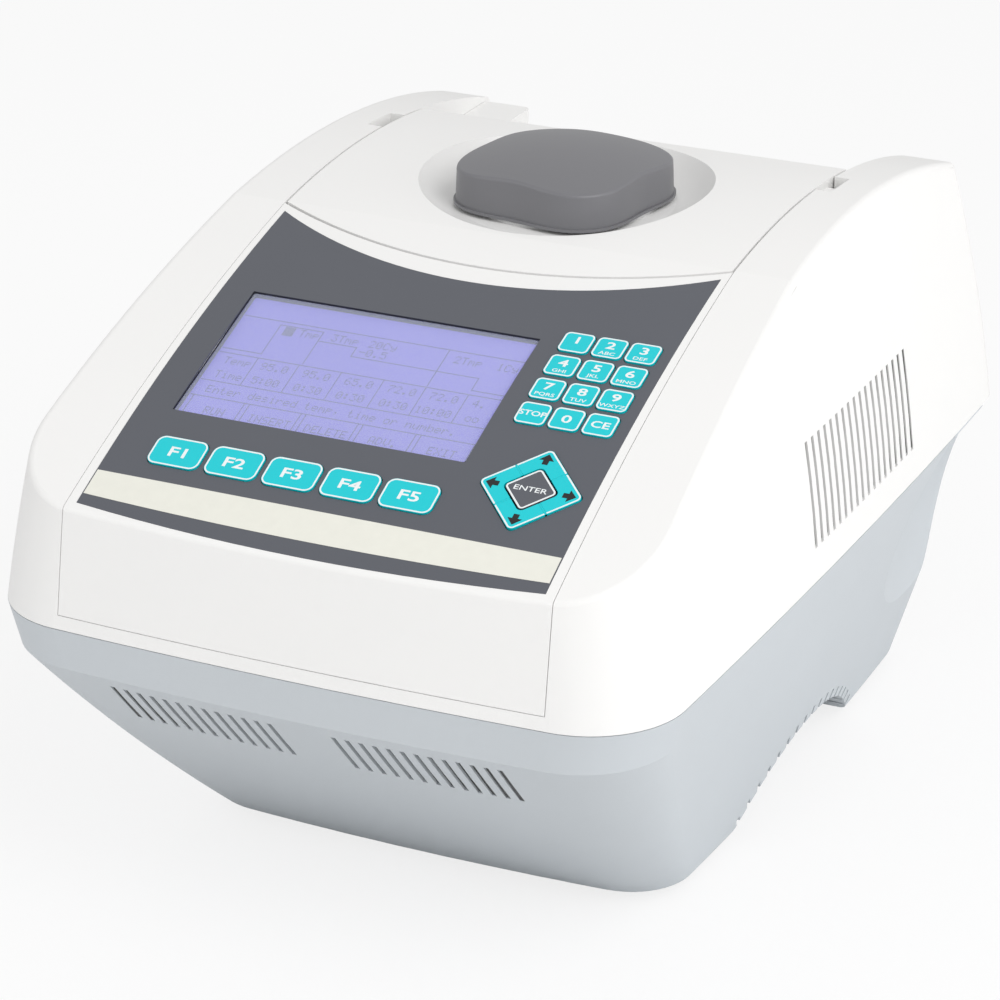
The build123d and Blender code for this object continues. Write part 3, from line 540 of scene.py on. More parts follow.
@dataclass(frozen=True)
class Slope:
    """The arched front panel as an arc in the YZ plane, measured above the seam.

    shoulder and corner are its lower and upper end, as Y and Z, and sagitta is how far its
    middle rises above the chord.
    """

    shoulder: Point2 = (-188.0, 46.5)
    corner: Point2 = (-17.5, 113.5)
    sagitta: float = 5.2

    def arc(self) -> tuple[Point2, float]:
        """Work out the arc through both ends.

        Returns:
            Its centre and its radius.
        """
        across, up = self.corner[0] - self.shoulder[0], self.corner[1] - self.shoulder[1]
        chord = math.hypot(across, up)
        radius = (chord ** 2 / 4 + self.sagitta ** 2) / (2 * self.sagitta)
        down = radius - self.sagitta
        middle = ((self.shoulder[0] + self.corner[0]) / 2, (self.shoulder[1] + self.corner[1]) / 2)
        return (middle[0] + up / chord * down, middle[1] - across / chord * down), radius

    def angle(self, s: float) -> float:
        """Angle of the normal, s millimetres up the slope."""
        (cy, cz), radius = self.arc()
        return math.atan2(self.shoulder[1] - cz, self.shoulder[0] - cy) - s / radius

    def point(self, x: float, s: float, lift: float = 0.0) -> Vector:
        """A point on or above the panel.

        Args:
            x: across.
            s: up the slope from the shoulder.
            lift: along the normal.

        Returns:
            The point, in metres.
        """
        (cy, cz), radius = self.arc()
        angle = self.angle(s)
        reach = radius + lift
        return Vector((x, cy + reach * math.cos(angle), cz + reach * math.sin(angle) + SEAM)) * MM

    def plane(self, x: float, s: float, lift: float = 0.0) -> Matrix:
        """A flat frame on or above the panel.

        Args:
            x: across.
            s: up the slope from the shoulder.
            lift: along the normal.

        Returns:
            The frame, with Y up the slope and Z along the normal.
        """
        angle = self.angle(s)
        normal = Vector((0, math.cos(angle), math.sin(angle)))
        across = Vector((1, 0, 0))
        turn = Matrix((across, normal.cross(across), normal)).transposed().to_4x4()
        return Matrix.Translation(self.point(x, s, lift)) @ turn


SLOPE = Slope()


# Raised print


@dataclass(frozen=True)
class Lettering:
    """One kind of lettering: the height of a capital, how much the letters are widened and
    their strokes grow, and how far above the key's middle it stands."""

    size: float
    wide: float
    bold: float
    rise: float = 0.0


class Legend(Enum):
    """The kinds of lettering on the keys."""

    FUNCTION = Lettering(4.6, 1.45, 0.12)
    DIGIT = Lettering(3.8, 1.45, 0.1, 1.4)
    SMALL = Lettering(1.7, 1.4, 0.02, -3.1)
    ZERO = Lettering(3.8, 1.5, 0.1)
    CLEAR = Lettering(3.3, 1.35, 0.08)
    WORD = Lettering(2.5, 1.3, 0.06)
    ENTER = Lettering(2.3, 1.35, 0.03)


class Relief:
    """Collects thin raised shapes on flat frames into one mesh."""

    def __init__(self, name: str) -> None:
        """Start an empty relief.

        Args:
            name: the piece's name.
        """
        self.name = name
        self.build = bmesh.new()

    def row(self, loop: Loop, frame_at: Matrix, height: float) -> list[bmesh.types.BMVert]:
        """Add an outline's points at a height above the flat frame."""
        return [self.build.verts.new(frame_at @ Vector((x * MM, y * MM, height * MM)))
                for x, y in loop]

    def prism(self, loop: Loop, frame_at: Matrix, height: float, index: int = 0) -> None:
        """Raise a filled outline.

        Args:
            loop: the outline.
            frame_at: the flat frame it lies on.
            height: how far it is raised.
            index: its material index.
        """
        low, high = self.row(loop, frame_at, 0), self.row(loop, frame_at, height)
        faces = [self.build.faces.new(high), self.build.faces.new(low[::-1])]
        for i in range(len(loop)):
            j = (i + 1) % len(loop)
            faces.append(self.build.faces.new((low[i], low[j], high[j], high[i])))
        for face in faces:
            face.material_index = index

    def band(self, outer: Loop, inner: Loop, frame_at: Matrix, height: float,
             closed: bool = True) -> None:
        """Raise the band between two outlines of equal length.

        Args:
            outer: outer outline, anticlockwise.
            inner: inner outline.
            frame_at: the flat frame it lies on.
            height: how far it is raised.
            closed: whether the band is a ring.
        """
        count = len(outer)
        rows = [self.row(loop, frame_at, z)
                for loop, z in ((outer, 0), (outer, height), (inner, height), (inner, 0))]
        for i in range(count if closed else count - 1):
            j = (i + 1) % count
            for a, b in zip(rows, rows[1:] + rows[:1]):
                self.build.faces.new((a[i], a[j], b[j], b[i]))
        if not closed:
            for i, order in ((0, 1), (count - 1, -1)):
                self.build.faces.new([row[i] for row in rows][::order])

    def words(self, text: str, frame_at: Matrix, kind: Legend, height: float) -> None:
        """Raise centred lettering.

        Args:
            text: what it says.
            frame_at: the flat frame; its origin is the lettering's centre.
            kind: the kind of lettering.
            height: how far it is raised.
        """
        letters = kind.value
        curve = bpy.data.curves.new(self.name + "_text", "FONT")
        curve.body = text
        curve.size = letters.size * MM / CAPITAL_SHARE
        curve.offset = letters.bold * MM
        curve.extrude = height * MM / 2
        curve.resolution_u = LETTER_STEPS
        shape = plain_mesh(add_object(self.name + "_text", curve))
        bpy.data.curves.remove(curve)
        xs = [v.co.x for v in shape.vertices]
        ys = [v.co.y for v in shape.vertices]
        centre = Vector(((min(xs) + max(xs)) / 2, (min(ys) + max(ys)) / 2, -height * MM / 2))
        widen = Matrix.Diagonal((letters.wide, 1, 1, 1))
        shape.transform(frame_at @ widen @ Matrix.Translation(-centre))
        self.build.from_mesh(shape)
        bpy.data.meshes.remove(shape)

    def finish(self, finishes: Iterable[Finish], body: str) -> bpy.types.Object:
        """Close the mesh and make the piece, which rides on a body."""
        return new_piece(self.name, mesh_from(self.build, self.name), finishes, body)


# Keypad


@dataclass(frozen=True)
class KeyShape:
    """A rounded-rectangle key on the slope: its CAD body, its middle across and up the slope, its
    size and corner radius, its main legend with that one's lettering, and its small legend."""

    body: str
    x: float
    s: float
    width: float
    height: float
    radius: float
    main: str
    kind: Legend
    small: str = ""


@dataclass
class Keypad:
    """Printed outlines and legends of the keys.

    Attributes:
        proud: how far a key's top stands above the panel.
        edge: bare edge outside the printed outline.
        border: from a key's edge to the inside of its printed outline.
        function_first, function_pitch: middle of the first function key, and the spacing.
        pad_first, pad_pitch: middle of the number pad's first key, and the spacing each way.
        pad_letters: small legends of keys 1 to 9.
        nav: middle of the arrow diamond.
        nav_half: from its middle to an edge's line along the diagonal.
        nav_edge: bare edge along the diagonal.
        hole_half: the hole for the middle key.
        gap: gap between two arrow keys.
        arrow: outline of the arrow that points up, about its own middle.
        arrow_reach: from the diamond's middle to the arrow.
        enter_half, enter_edge: the middle key, and its bare edge.
        enter_radii: corner radii of its printed outline, outside and inside.
        film_drop: how far the film in the gaps lies below the keys' tops.
        film_clear, film_end: its clearance to the keys beside it and at both ends.
    """

    proud: float = 0.6
    print_height: float = 0.05
    edge: float = 0.12
    border: float = 0.75
    function_first: Point2 = (-67.4, 34.6)
    function_pitch: float = 23.9
    function_size: Point3 = (21.5, 14.0, 3.5)
    pad_first: Point2 = (55.9, 125.6)
    pad_pitch: Point2 = (13.5, 13.65)
    pad_size: Point3 = (12.1, 11.2, 2.2)
    pad_letters: tuple[str, ...] = ("", "ABC", "DEF", "GHI", "JKL", "MNO", "PQRS", "TUV", "WXYZ")
    nav: Point2 = (70.8, 47.9)
    nav_half: float = 20.5
    nav_radius: float = 2.2
    nav_edge: float = 0.17
    hole_half: float = 11.4
    gap: float = 0.8
    arrow: tuple[Point2, ...] = ((-1.15, -2.3), (1.15, -2.3), (1.15, -0.2), (2.9, -0.2),
                                 (0, 2.9), (-2.9, -0.2), (-1.15, -0.2))
    arrow_reach: float = 14.9
    enter_half: float = 10.4
    enter_edge: float = 0.1
    enter_radii: Point2 = (1.6, 0.9)
    film_drop: float = 0.35
    film_thick: float = 0.33
    film_clear: float = 0.06
    film_end: float = 0.1

    def shapes(self) -> list[KeyShape]:
        """List the rounded-rectangle keys.

        Returns:
            Every such key with its legend.
        """
        first_x, s = self.function_first
        keys = [KeyShape(f"key_f{i + 1}", first_x + self.function_pitch * i, s,
                         *self.function_size, f"F{i + 1}", Legend.FUNCTION) for i in range(5)]
        for i, small in enumerate(self.pad_letters):
            number = str(i + 1)
            keys.append(self.pad_key("key_" + number, i % 3, i // 3, number, Legend.DIGIT, small))
        keys.append(self.pad_key("key_stop", 0, 3, "STOP", Legend.WORD))
        keys.append(self.pad_key("key_0", 1, 3, "0", Legend.ZERO))
        keys.append(self.pad_key("key_clear", 2, 3, "CE", Legend.CLEAR))
        return keys

    def pad_key(self, body: str, column: int, row: int, main: str, kind: Legend,
                small: str = "") -> KeyShape:
        """One key of the number pad, by its column and row."""
        return KeyShape(body, self.pad_first[0] + self.pad_pitch[0] * column,
                        self.pad_first[1] - self.pad_pitch[1] * row,
                        *self.pad_size, main, kind, small)

    def rectangle_key(self, key: KeyShape) -> None:
        """Print one rounded-rectangle key.

        Args:
            key: the key.
        """
        relief = Relief(key.body + "_print")
        outer, inner = [rounded_loop(key.width - 2 * inset, key.height - 2 * inset,
                                     key.radius - inset) for inset in (self.edge, self.border)]
        relief.band(outer, inner, SLOPE.plane(key.x, key.s, self.proud), self.print_height)
        legends = [(key.main, key.kind)]
        if key.small:
            legends.append((key.small, Legend.SMALL))
        for text, kind in legends:
            place = SLOPE.plane(key.x, key.s + kind.value.rise, self.proud)
            relief.words(text, place, kind, self.print_height)
        relief.finish([Finish.PRINT], key.body)

    def arrow_key(self, name: str, turn: float) -> None:
        """Print one corner of the arrow diamond.

        Args:
            name: where it points.
            turn: how far it is turned from pointing up, in degrees.
        """
        relief = Relief(f"key_{name}_print")
        top = SLOPE.plane(*self.nav, self.proud)
        half_gap = self.gap / 2
        paths = []
        for half, radius in (
                (self.nav_half - self.nav_edge, self.nav_radius - self.edge),
                (self.nav_half - self.border * MITRE, self.nav_radius - self.border)):
            side = half * math.sqrt(2)
            square = rounded_loop(side, side, radius)
            upper_right = square[CORNER_STEPS + 1:2 * (CORNER_STEPS + 1)]
            loop = [(side / 2, half_gap), *upper_right, (half_gap, side / 2)]
            paths.append(turned(loop, 45 + turn))
        relief.band(*paths, top, self.print_height, closed=False)
        arrow = turned(shifted(self.arrow, 0, self.arrow_reach), turn)
        relief.prism(arrow, top, self.print_height, 1)
        relief.finish([Finish.PRINT, Finish.BLACK_PRINT], "key_" + name)

    def enter_key(self) -> None:
        """Print the middle key."""
        relief = Relief("key_enter_print")
        top = SLOPE.plane(*self.nav, self.proud)
        insets = (self.enter_edge, self.border * MITRE)
        loops = []
        for inset, radius in zip(insets, self.enter_radii):
            side = (self.enter_half - inset) * math.sqrt(2)
            loops.append(turned(rounded_loop(side, side, radius), 45))
        relief.band(*loops, top, self.print_height)
        relief.words("ENTER", top, Legend.ENTER, self.print_height)
        relief.finish([Finish.PRINT], "key_enter")

    def seams(self) -> None:
        """Cyan film in the gaps between the arrow keys."""
        relief = Relief("arrow_film")
        top = SLOPE.plane(*self.nav, self.proud - self.film_drop)
        half = self.gap / 2 - self.film_clear
        near = self.hole_half / math.sqrt(2) + self.film_end
        far = self.nav_half / math.sqrt(2) - self.film_end
        strip = [(near, -half), (far, -half), (far, half), (near, half)]
        for turn in (0, 90, 180, 270):
            relief.prism(turned(strip, 45 + turn), top, self.film_thick)
        relief.finish([Finish.CYAN], CHASSIS)

    def make(self) -> None:
        """Print every key."""
        for key in self.shapes():
            self.rectangle_key(key)
        for name, turn in (("up", 0), ("left", 90), ("down", 180), ("right", 270)):
            self.arrow_key(name, turn)
        self.enter_key()
        self.seams()


# Painted shade in the air slots, and the stripe


@dataclass(frozen=True)
class SlotRow:
    """The dark sheet of painted shade behind one row of air slots, with its dark ribs.

    sheet is the shade sheet's width and height, centre its middle on the right-hand side, measured
    above the seam, and up the direction up the wall. rib is a dark rib's width and length, proud
    how far it stands into its slot, and first, pitch and count place the ribs along the row.
    """

    sheet: Point2
    centre: Point3
    up: Point3
    rib: Point2
    proud: float
    first: float
    pitch: float
    count: int


@dataclass
class VentShadeSheets:
    """Dark sheets of painted shade inside both sides and the front, with dark ribs of painted shade
    that stand in the air slots.

    Attributes:
        side: the row in each side of the housing.
        front: the row at each side of the base's front.
        thick, corner: thickness and corner radius of a shade sheet.
        rib_corner, rib_steps: radius and segments of a rib's corners.
    """

    side: SlotRow = SlotRow((114.0, 47.0), (131.3, 21.0, 34.7), (-5.9, 0.0, 42.5),
                            (2.3, 42.0), 3.6, -54.0, 6.35, 18)
    front: SlotRow = SlotRow((72.0, 32.0), (46.5, -177.8, -29.9), (0.0, -0.66, 0.751),
                             (1.9, 28.4), 3.3, -33.3, 5.55, 13)
    thick: float = 0.4
    corner: float = 1.0
    rib_corner: float = 0.1
    rib_steps: int = 2

    def wall(self, row: SlotRow, across: Vector, side: int) -> Matrix:
        """A flat frame inside one wall.

        Args:
            row: the row of slots in the wall.
            across: along the row.
            side: 1 for the right-hand side, -1 for its mirror image.

        Returns:
            The frame, with Z towards the wall.
        """
        up = mirrored(row.up, side).normalized()
        turn = Matrix((across, up, across.cross(up))).transposed().to_4x4()
        centre = (mirrored(row.centre, side) + Vector((0, 0, SEAM))) * MM
        return Matrix.Translation(centre) @ turn

    def shade_sheet(self, relief: Relief, row: SlotRow, wall: Matrix, side: int) -> None:
        """Add one sheet of painted shade and its dark ribs.

        Args:
            relief: the mesh they go into.
            row: the row of slots.
            wall: the flat frame inside the wall.
            side: 1 for the right-hand side, -1 for its mirror image.
        """
        relief.prism(rounded_loop(*row.sheet, self.corner), wall, self.thick)
        rib = rounded_loop(*row.rib, self.rib_corner, self.rib_steps)
        for i in range(row.count):
            relief.prism(shifted(rib, side * (row.first + row.pitch * i)), wall, row.proud)

    def make(self) -> None:
        """Build the four sheets of painted shade."""
        # Black sheets and ribs inside the walls paint the shade that falls in the air slots.
        relief = Relief("vent_shade_sheets")
        for side in (-1, 1):
            for row, across in ((self.side, (0, side, 0)), (self.front, (1, 0, 0))):
                self.shade_sheet(relief, row, self.wall(row, Vector(across), side), side)
        relief.finish([Finish.BLACK], CHASSIS)


@dataclass
class Stripe:
    """Pale stripe printed across the foot of the overlay.

    Its half width shrinks by the taper up the slope. top_s is its upper edge, low_side_s and
    low_mid_s its lower edge at the sides and in the middle, and lift its gap to the overlay.
    """

    half_width: float = 94.6
    taper: float = 0.011
    top_s: float = 20.2
    low_side_s: float = 8.3
    low_mid_s: float = 5.8
    lift: float = 0.03
    thick: float = 0.04
    columns: int = 48

    def make(self) -> None:
        """Build the stripe as a thin film on the slope."""
        build = bmesh.new()
        under, over = self.lift, self.lift + self.thick
        rows = []
        for i in range(self.columns + 1):
            t = -1 + 2 * i / self.columns
            low = self.low_mid_s + (self.low_side_s - self.low_mid_s) * t * t
            ring = ((low, under), (self.top_s, under), (self.top_s, over), (low, over))
            rows.append([build.verts.new(SLOPE.point(t * (self.half_width - self.taper * s), s, up))
                         for s, up in ring])
        for left, right in zip(rows, rows[1:]):
            for k in range(4):
                j = (k + 1) % 4
                build.faces.new((left[k], right[k], right[j], left[j]))
        build.faces.new(rows[0])
        build.faces.new(rows[-1][::-1])
        name = "overlay_stripe"
        new_piece(name, mesh_from(build, name), [Finish.CREAM], CHASSIS)


# Display


# Each letter is five columns of dots, as one byte each, with the top row in the lowest bit.
GLYPHS: dict[str, str] = {
    "0": "3E5149453E", "1": "00427F4000", "2": "4261514946", "3": "2141454B31", "4": "1814127F10",
    "5": "2745454539", "6": "3C4A494930", "7": "0171090503", "8": "3649494936", "9": "064949291E",
    ":": "0036360000", ".": "0060600000", ",": "0050300000", "-": "0808080808", "A": "7E1111117E",
    "C": "3E41414122", "D": "7F4141221C", "E": "7F49494941", "I": "00417F4100", "L": "7F40404040",
    "N": "7F0408107F", "R": "7F09192946", "S": "4649494931", "T": "01017F0101", "U": "3F4040403F",
    "V": "1F2040201F", "X": "6314081463", "b": "7F48444438", "c": "3844444420", "d": "384444487F",
    "e": "3854545418", "i": "00447D4000", "m": "7C04180478", "n": "7C08040478", "o": "3844444438",
    "p": "7C14141408", "r": "7C08040408", "s": "4854545420", "t": "043F444020", "u": "3C4040207C",
    "y": "0C5050503C",
}
GLYPH_COLUMNS = 5
GLYPH_ROWS = 8
GLYPH_PITCH = 6
GLYPH_MIDDLE = 3.5

# What the display says, with each text's middle.
SCREEN_TEXTS: tuple[tuple[str, float, float], ...] = (
    ("Tmp", -29.7, 19.3), ("3Tmp", -14.5, 19.8), ("20Cy", 1.5, 19.8), ("-0.5", -0.5, 14.8),
    ("2Tmp", 37.5, 19.3), ("1Cy", 53.8, 19.3), ("Temp", -50.2, -1.6), ("Time", -50.2, -9.6),
    ("95.0", -34.5, -1.6), ("95.0", -16.6, -1.6), ("65.0", 1.4, -1.6), ("72.0", 19.4, -1.6),
    ("72.0", 36.8, -1.6), ("4.", 51.5, -1.6), ("5:00", -34.5, -9.6), ("0:30", -16.6, -9.6),
    ("0:30", 1.4, -9.6), ("0:30", 19.4, -9.6), ("10:00", 36.0, -9.6), ("oo", 52.0, -9.6),
    ("Enter desired temp, time or number.", -3.0, -18.2), ("RUN", -46.5, -29.4),
    ("INSERT", -23.2, -29.4), ("DELETE", 0.6, -29.4), ("ADV.", 24.4, -29.4),
    ("EXIT", 48.4, -29.4),
)
# The display's rules, each from its first point to its second.
SCREEN_LINES: tuple[tuple[float, float, float, float], ...] = (
    (-60, 24.2, 60, 24.2), (-60, 5.0, -43.5, 5.0), (-43.5, 5.0, -43.5, 22.2),
    (-43.5, 22.2, -25.0, 22.2), (-25.0, 22.2, -25.0, 3.5), (-25.0, 17.0, -8.5, 17.0),
    (-8.5, 17.0, -8.5, 11.8), (-8.5, 11.8, 45.0, 11.8), (27.5, 24.2, 27.5, 3.5),
    (45.0, 11.8, 45.0, 5.0), (45.0, 5.0, 60, 5.0), (-60, 2.6, 60, 2.6),
    (-60, -13.4, 60, -13.4), (-60, -22.2, 60, -22.2),
    *((x, 2.6, x, -13.4) for x in (-43.5, -26.0, -8.0, 10.0, 27.5, 45.0)),
)


@dataclass
class Display:
    """Lit display behind the window, drawn in dots.

    Attributes:
        centre_x, centre_s: its middle, across and up the slope.
        width, height, corner: size and corner radius of the lit ground.
        depth: how far the display lies below the panel.
        ground_lift: the lit ground, above that depth.
        shade_band: outer and inner size of the dark band of painted shade on the window's inner
            walls.
        shade_band_low: its foot, above the panel.
        dot: from one dot to the next.
        dot_fill: a dot's width and height, as shares of that.
        dot_lift: the dots, above the display's depth.
        row_share: from one row of a letter to the next, as a share of the dot pitch.
        tabs, tab_first, tab_pitch: the tabs along the foot, by number, place and spacing.
        tab_half: half a tab's width, at its shoulder and below.
        tab_top: height of its shoulder's first dot, and of its sides' first dot.
        shoulder_step: from one dot of the shoulder to the next, in and down.
        shoulder_dots, side_dots: dots in each shoulder and in each side.
        marker_at, marker_dots: the dark marker's lower left dot, and its dots each way.
    """

    centre_x: float = -19.55
    centre_s: float = 90.2
    width: float = 127.0
    height: float = 75.0
    corner: float = 1.0
    depth: float = 4.0
    ground_lift: float = 0.03
    ground_thick: float = 0.05
    shade_band: tuple[Point2, Point2] = ((121.66, 69.56), (121.3, 69.2))
    shade_band_corner: float = 0.9
    shade_band_low: float = -3.9
    shade_band_high: float = 2.9
    dot: float = 0.5
    dot_fill: Point2 = (0.92, 1.02)
    dot_lift: float = 0.12
    dot_thick: float = 0.03
    row_share: float = 1.15
    tabs: int = 5
    tab_first: float = -47.8
    tab_pitch: float = 23.9
    tab_half: Point2 = (11.2, 10.9)
    tab_top: Point2 = (-22.2, -23.4)
    shoulder_step: Point2 = (0.18, 0.45)
    shoulder_dots: int = 3
    side_dots: int = 21
    marker_at: Point2 = (-40.6, 17.0)
    marker_dots: tuple[int, int] = (9, 10)

    def frame_at(self, lift: float) -> Matrix:
        """The display's flat frame, lifted along its normal."""
        return SLOPE.plane(self.centre_x, self.centre_s, lift - self.depth)

    def letter_dots(self, letter: str) -> list[tuple[int, int]]:
        """Column and row of each dot of a letter.

        Args:
            letter: the letter, or a space.

        Returns:
            The columns and rows, from the upper left.
        """
        dots = []
        for column in range(GLYPH_COLUMNS if letter in GLYPHS else 0):
            bits = int(GLYPHS[letter][2 * column:2 * column + 2], 16)
            dots += [(column, row) for row in range(GLYPH_ROWS) if bits >> row & 1]
        return dots

    def text_dots(self) -> Loop:
        """Lay out the lettering.

        Returns:
            Centres of its dots.
        """
        dots = []
        for text, x, s in SCREEN_TEXTS:
            left = x - (len(text) * GLYPH_PITCH - 1) * self.dot / 2
            for number, letter in enumerate(text):
                for column, row in self.letter_dots(letter):
                    dots.append((left + (number * GLYPH_PITCH + column) * self.dot,
                                 s + (GLYPH_MIDDLE - row) * self.dot * self.row_share))
        return dots

    def line_dots(self) -> Loop:
        """Lay out the rules.

        Returns:
            Centres of their dots.
        """
        dots = []
        for x0, s0, x1, s1 in SCREEN_LINES:
            count = max(1, round(math.hypot(x1 - x0, s1 - s0) / self.dot))
            dots += [(x0 + (x1 - x0) * i / count, s0 + (s1 - s0) * i / count)
                     for i in range(count + 1)]
        return dots

    def tab_dots(self) -> Loop:
        """Lay out the tabs along the foot.

        Returns:
            Centres of their dots.
        """
        (shoulder, half), (top, side_top) = self.tab_half, self.tab_top
        dots = []
        for i in range(self.tabs):
            x = self.tab_first + self.tab_pitch * i
            for side in (-1, 1):
                dots += [(x + side * (shoulder - self.shoulder_step[0] * k),
                          top - self.shoulder_step[1] * k) for k in range(self.shoulder_dots)]
                dots += [(x + side * half, side_top - self.dot * k)
                         for k in range(self.side_dots)]
        return dots

    def marker(self) -> Loop:
        """Lay out the dark marker at the first step.

        Returns:
            Centres of its dots.
        """
        left, low = self.marker_at
        across, up = self.marker_dots
        return [(left + self.dot * i, low + self.dot * j) for i in range(across)
                for j in range(up)]

    def dots_piece(self) -> None:
        """Draw all dots with Geometry Nodes."""
        places = self.frame_at(self.dot_lift)
        spots = self.text_dots() + self.line_dots() + self.tab_dots() + self.marker()
        points = bpy.data.meshes.new("display_points")
        points.from_pydata([places @ Vector((x * MM, s * MM, 0)) for x, s in spots], [], [])
        size = (self.dot * self.dot_fill[0] * MM, self.dot * self.dot_fill[1] * MM,
                self.dot_thick * MM)
        mesh = scatter(add_object("display_points", points), "display_dots", size,
                       places.to_euler(), Finish.LCD_DOT)
        new_piece("display_dots", mesh, [Finish.LCD_DOT], CHASSIS)

    def make(self) -> None:
        """Build the lit ground, the band of painted shade in the window and the dots."""
        ground = Relief("display_ground")
        ground.prism(rounded_loop(self.width, self.height, self.corner),
                     self.frame_at(self.ground_lift), self.ground_thick)
        ground.finish([Finish.LCD], CHASSIS)
        # A dark band on the window's inner walls paints the shade that falls into the recess.
        shade_band = Relief("window_shade_band")
        outer, inner = [rounded_loop(*size, self.shade_band_corner) for size in self.shade_band]
        foot = SLOPE.plane(self.centre_x, self.centre_s, self.shade_band_low)
        shade_band.band(outer, inner, foot, self.shade_band_high)
        shade_band.finish([Finish.BLACK_PRINT], CHASSIS)
        self.dots_piece()


def scatter(holder: bpy.types.Object, name: str, size: Point3, tilt: Euler,
            finish: Finish) -> bpy.types.Mesh:
    """Put a small block on every vertex with Geometry Nodes.

    Args:
        holder: object whose vertices carry the blocks; it is removed.
        name: name of the tree and the mesh.
        size: the block's size, in metres.
        tilt: the block's rotation.
        finish: its finish.

    Returns:
        One realised mesh.
    """
    tree = bpy.data.node_groups.new(name, "GeometryNodeTree")
    face = tree.interface
    face.new_socket("Geometry", in_out="INPUT", socket_type="NodeSocketGeometry")
    size_socket, tilt_socket = [
        face.new_socket(label, in_out="INPUT", socket_type="NodeSocketVector")
        for label in ("Size", "Tilt")]
    face.new_socket("Geometry", in_out="OUTPUT", socket_type="NodeSocketGeometry")
    start, cube, place, turn, real, paint, end = [tree.nodes.new(kind) for kind in (
        "NodeGroupInput", "GeometryNodeMeshCube", "GeometryNodeInstanceOnPoints",
        "FunctionNodeEulerToRotation", "GeometryNodeRealizeInstances",
        "GeometryNodeSetMaterial", "NodeGroupOutput")]
    paint.inputs["Material"].default_value = finish.material()
    wire = tree.links.new
    wire(start.outputs["Geometry"], place.inputs["Points"])
    wire(start.outputs["Size"], cube.inputs["Size"])
    wire(cube.outputs["Mesh"], place.inputs["Instance"])
    wire(start.outputs["Tilt"], turn.inputs[0])
    wire(turn.outputs[0], place.inputs["Rotation"])
    wire(place.outputs["Instances"], real.inputs["Geometry"])
    wire(real.outputs["Geometry"], paint.inputs["Geometry"])
    wire(paint.outputs["Geometry"], end.inputs["Geometry"])
    modifier = holder.modifiers.new(name, "NODES")
    modifier.node_group = tree
    modifier[size_socket.identifier] = size
    modifier[tilt_socket.identifier] = tuple(tilt)
    mesh = plain_mesh(holder)
    mesh.name = name
    return mesh


# Studio


@dataclass(frozen=True)
class Lamp:
    """One soft lamp, with its place and width in metres and its power in watts."""

    name: str
    place: Point3
    size: float
    power: float


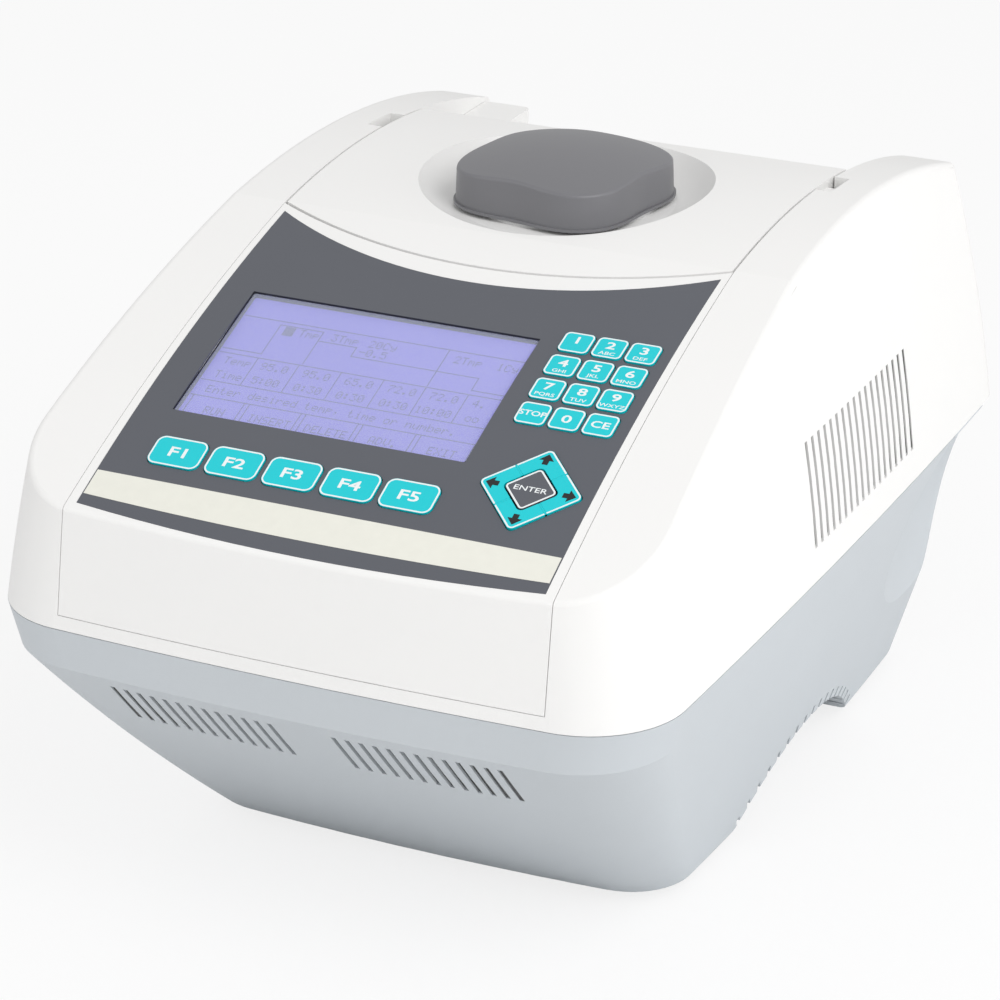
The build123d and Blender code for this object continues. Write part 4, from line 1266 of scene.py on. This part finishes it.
@dataclass
class Studio:
    """Floor, lamps and camera, in metres and degrees, with lens and sensor in millimetres.

    The camera stands at azimuth and elevation around its target. The lamps point at lit,
    floor_white is how much of the floor the camera sees as plain white, and room_light is the
    strength of the even light.
    """

    azimuth: float = 25.374
    elevation: float = 23.081
    distance: float = 1.56608
    target: Point3 = (-0.010291, 0.0, 0.117334)
    lens: float = 139.398
    sensor: float = 36.0
    clip: Point2 = (0.05, 50.0)
    lamps: tuple[Lamp, ...] = (Lamp("key", (1.6, -0.9, 1.9), 1.6, 30.0),
                               Lamp("fill", (-1.6, -1.6, 1.2), 1.8, 8.0),
                               Lamp("side", (2.0, 0.3, 0.35), 1.2, 7.0))
    lit: Point3 = (0, 0, 0.12)
    floor_reach: float = 8.0
    floor_colour: Colour = (0.86, 0.86, 0.86)
    floor_white: float = 0.8
    room_light: float = 0.68

    def aim(self, thing: bpy.types.Object, place: Vector, towards: Vector) -> None:
        """Put a lamp or camera in place and point it.

        Args:
            thing: the lamp or camera.
            place: where it goes.
            towards: the direction it looks in.
        """
        thing.location = place
        thing.rotation_mode = "QUATERNION"
        thing.rotation_quaternion = towards.to_track_quat("-Z", "Y")

    def camera(self) -> None:
        """Put the camera at the photograph's angle."""
        a, e = math.radians(self.azimuth), math.radians(self.elevation)
        back = Vector((math.sin(a) * math.cos(e), -math.cos(a) * math.cos(e), math.sin(e)))
        data = bpy.data.cameras.new("camera")
        data.lens = self.lens
        data.sensor_width = self.sensor
        data.clip_start, data.clip_end = self.clip
        camera = add_object("camera", data)
        self.aim(camera, Vector(self.target) + back * self.distance, -back)
        bpy.context.scene.camera = camera

    def light(self, lamp: Lamp) -> None:
        """Add one soft lamp that points at the object.

        Args:
            lamp: the lamp.
        """
        data = bpy.data.lights.new(lamp.name, "AREA")
        data.size = lamp.size
        data.energy = lamp.power
        place = Vector(lamp.place)
        self.aim(add_object(lamp.name, data), place, Vector(self.lit) - place)

    def floor(self) -> None:
        """Lay a pale floor that keeps the shadow."""
        mesh = bpy.data.meshes.new("floor")
        corners = [(x * self.floor_reach, y * self.floor_reach, 0)
                   for x, y in ((-1, -1), (1, -1), (1, 1), (-1, 1))]
        mesh.from_pydata(corners, [], [(0, 1, 2, 3)])
        tree = Tree("pale_floor")
        plain = tree.node("ShaderNodeBsdfDiffuse", {}, {"Color": self.floor_colour})
        white = tree.node("ShaderNodeEmission", {}, {"Color": (1, 1, 1), "Strength": 1.0})
        share = tree.node("ShaderNodeLightPath", output="Is Camera Ray") * self.floor_white
        mix = tree.node("ShaderNodeMixShader", {}, {0: share, 1: plain, 2: white})
        mesh.materials.append(tree.surface(mix))
        add_object("floor", mesh)

    def world(self) -> None:
        """Fill the room with even light."""
        world = bpy.data.worlds.new("room")
        bpy.context.scene.world = world
        world.use_nodes = True
        ground = world.node_tree.nodes["Background"]
        ground.inputs["Color"].default_value = (1.0, 1.0, 1.0, 1.0)
        ground.inputs["Strength"].default_value = self.room_light

    def make(self) -> None:
        """Build the studio."""
        self.camera()
        self.floor()
        self.world()
        for lamp in self.lamps:
            self.light(lamp)
        bpy.context.scene.view_settings.view_transform = "Standard"


def dress_cad() -> None:
    """Give every CAD node its finish."""
    for finish, nodes in CAD_FINISHES.items():
        for name in nodes:
            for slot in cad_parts[name].material_slots:
                slot.material = finish.material()


def main() -> None:
    """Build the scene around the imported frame."""
    logging.basicConfig(level=logging.INFO, format="%(name)s %(message)s")
    Studio().make()
    dress_cad()
    for assembly in (Keypad(), VentShadeSheets(), Stripe(), Display()):
        assembly.make()
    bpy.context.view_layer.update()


if __name__ == "__main__":
    main()
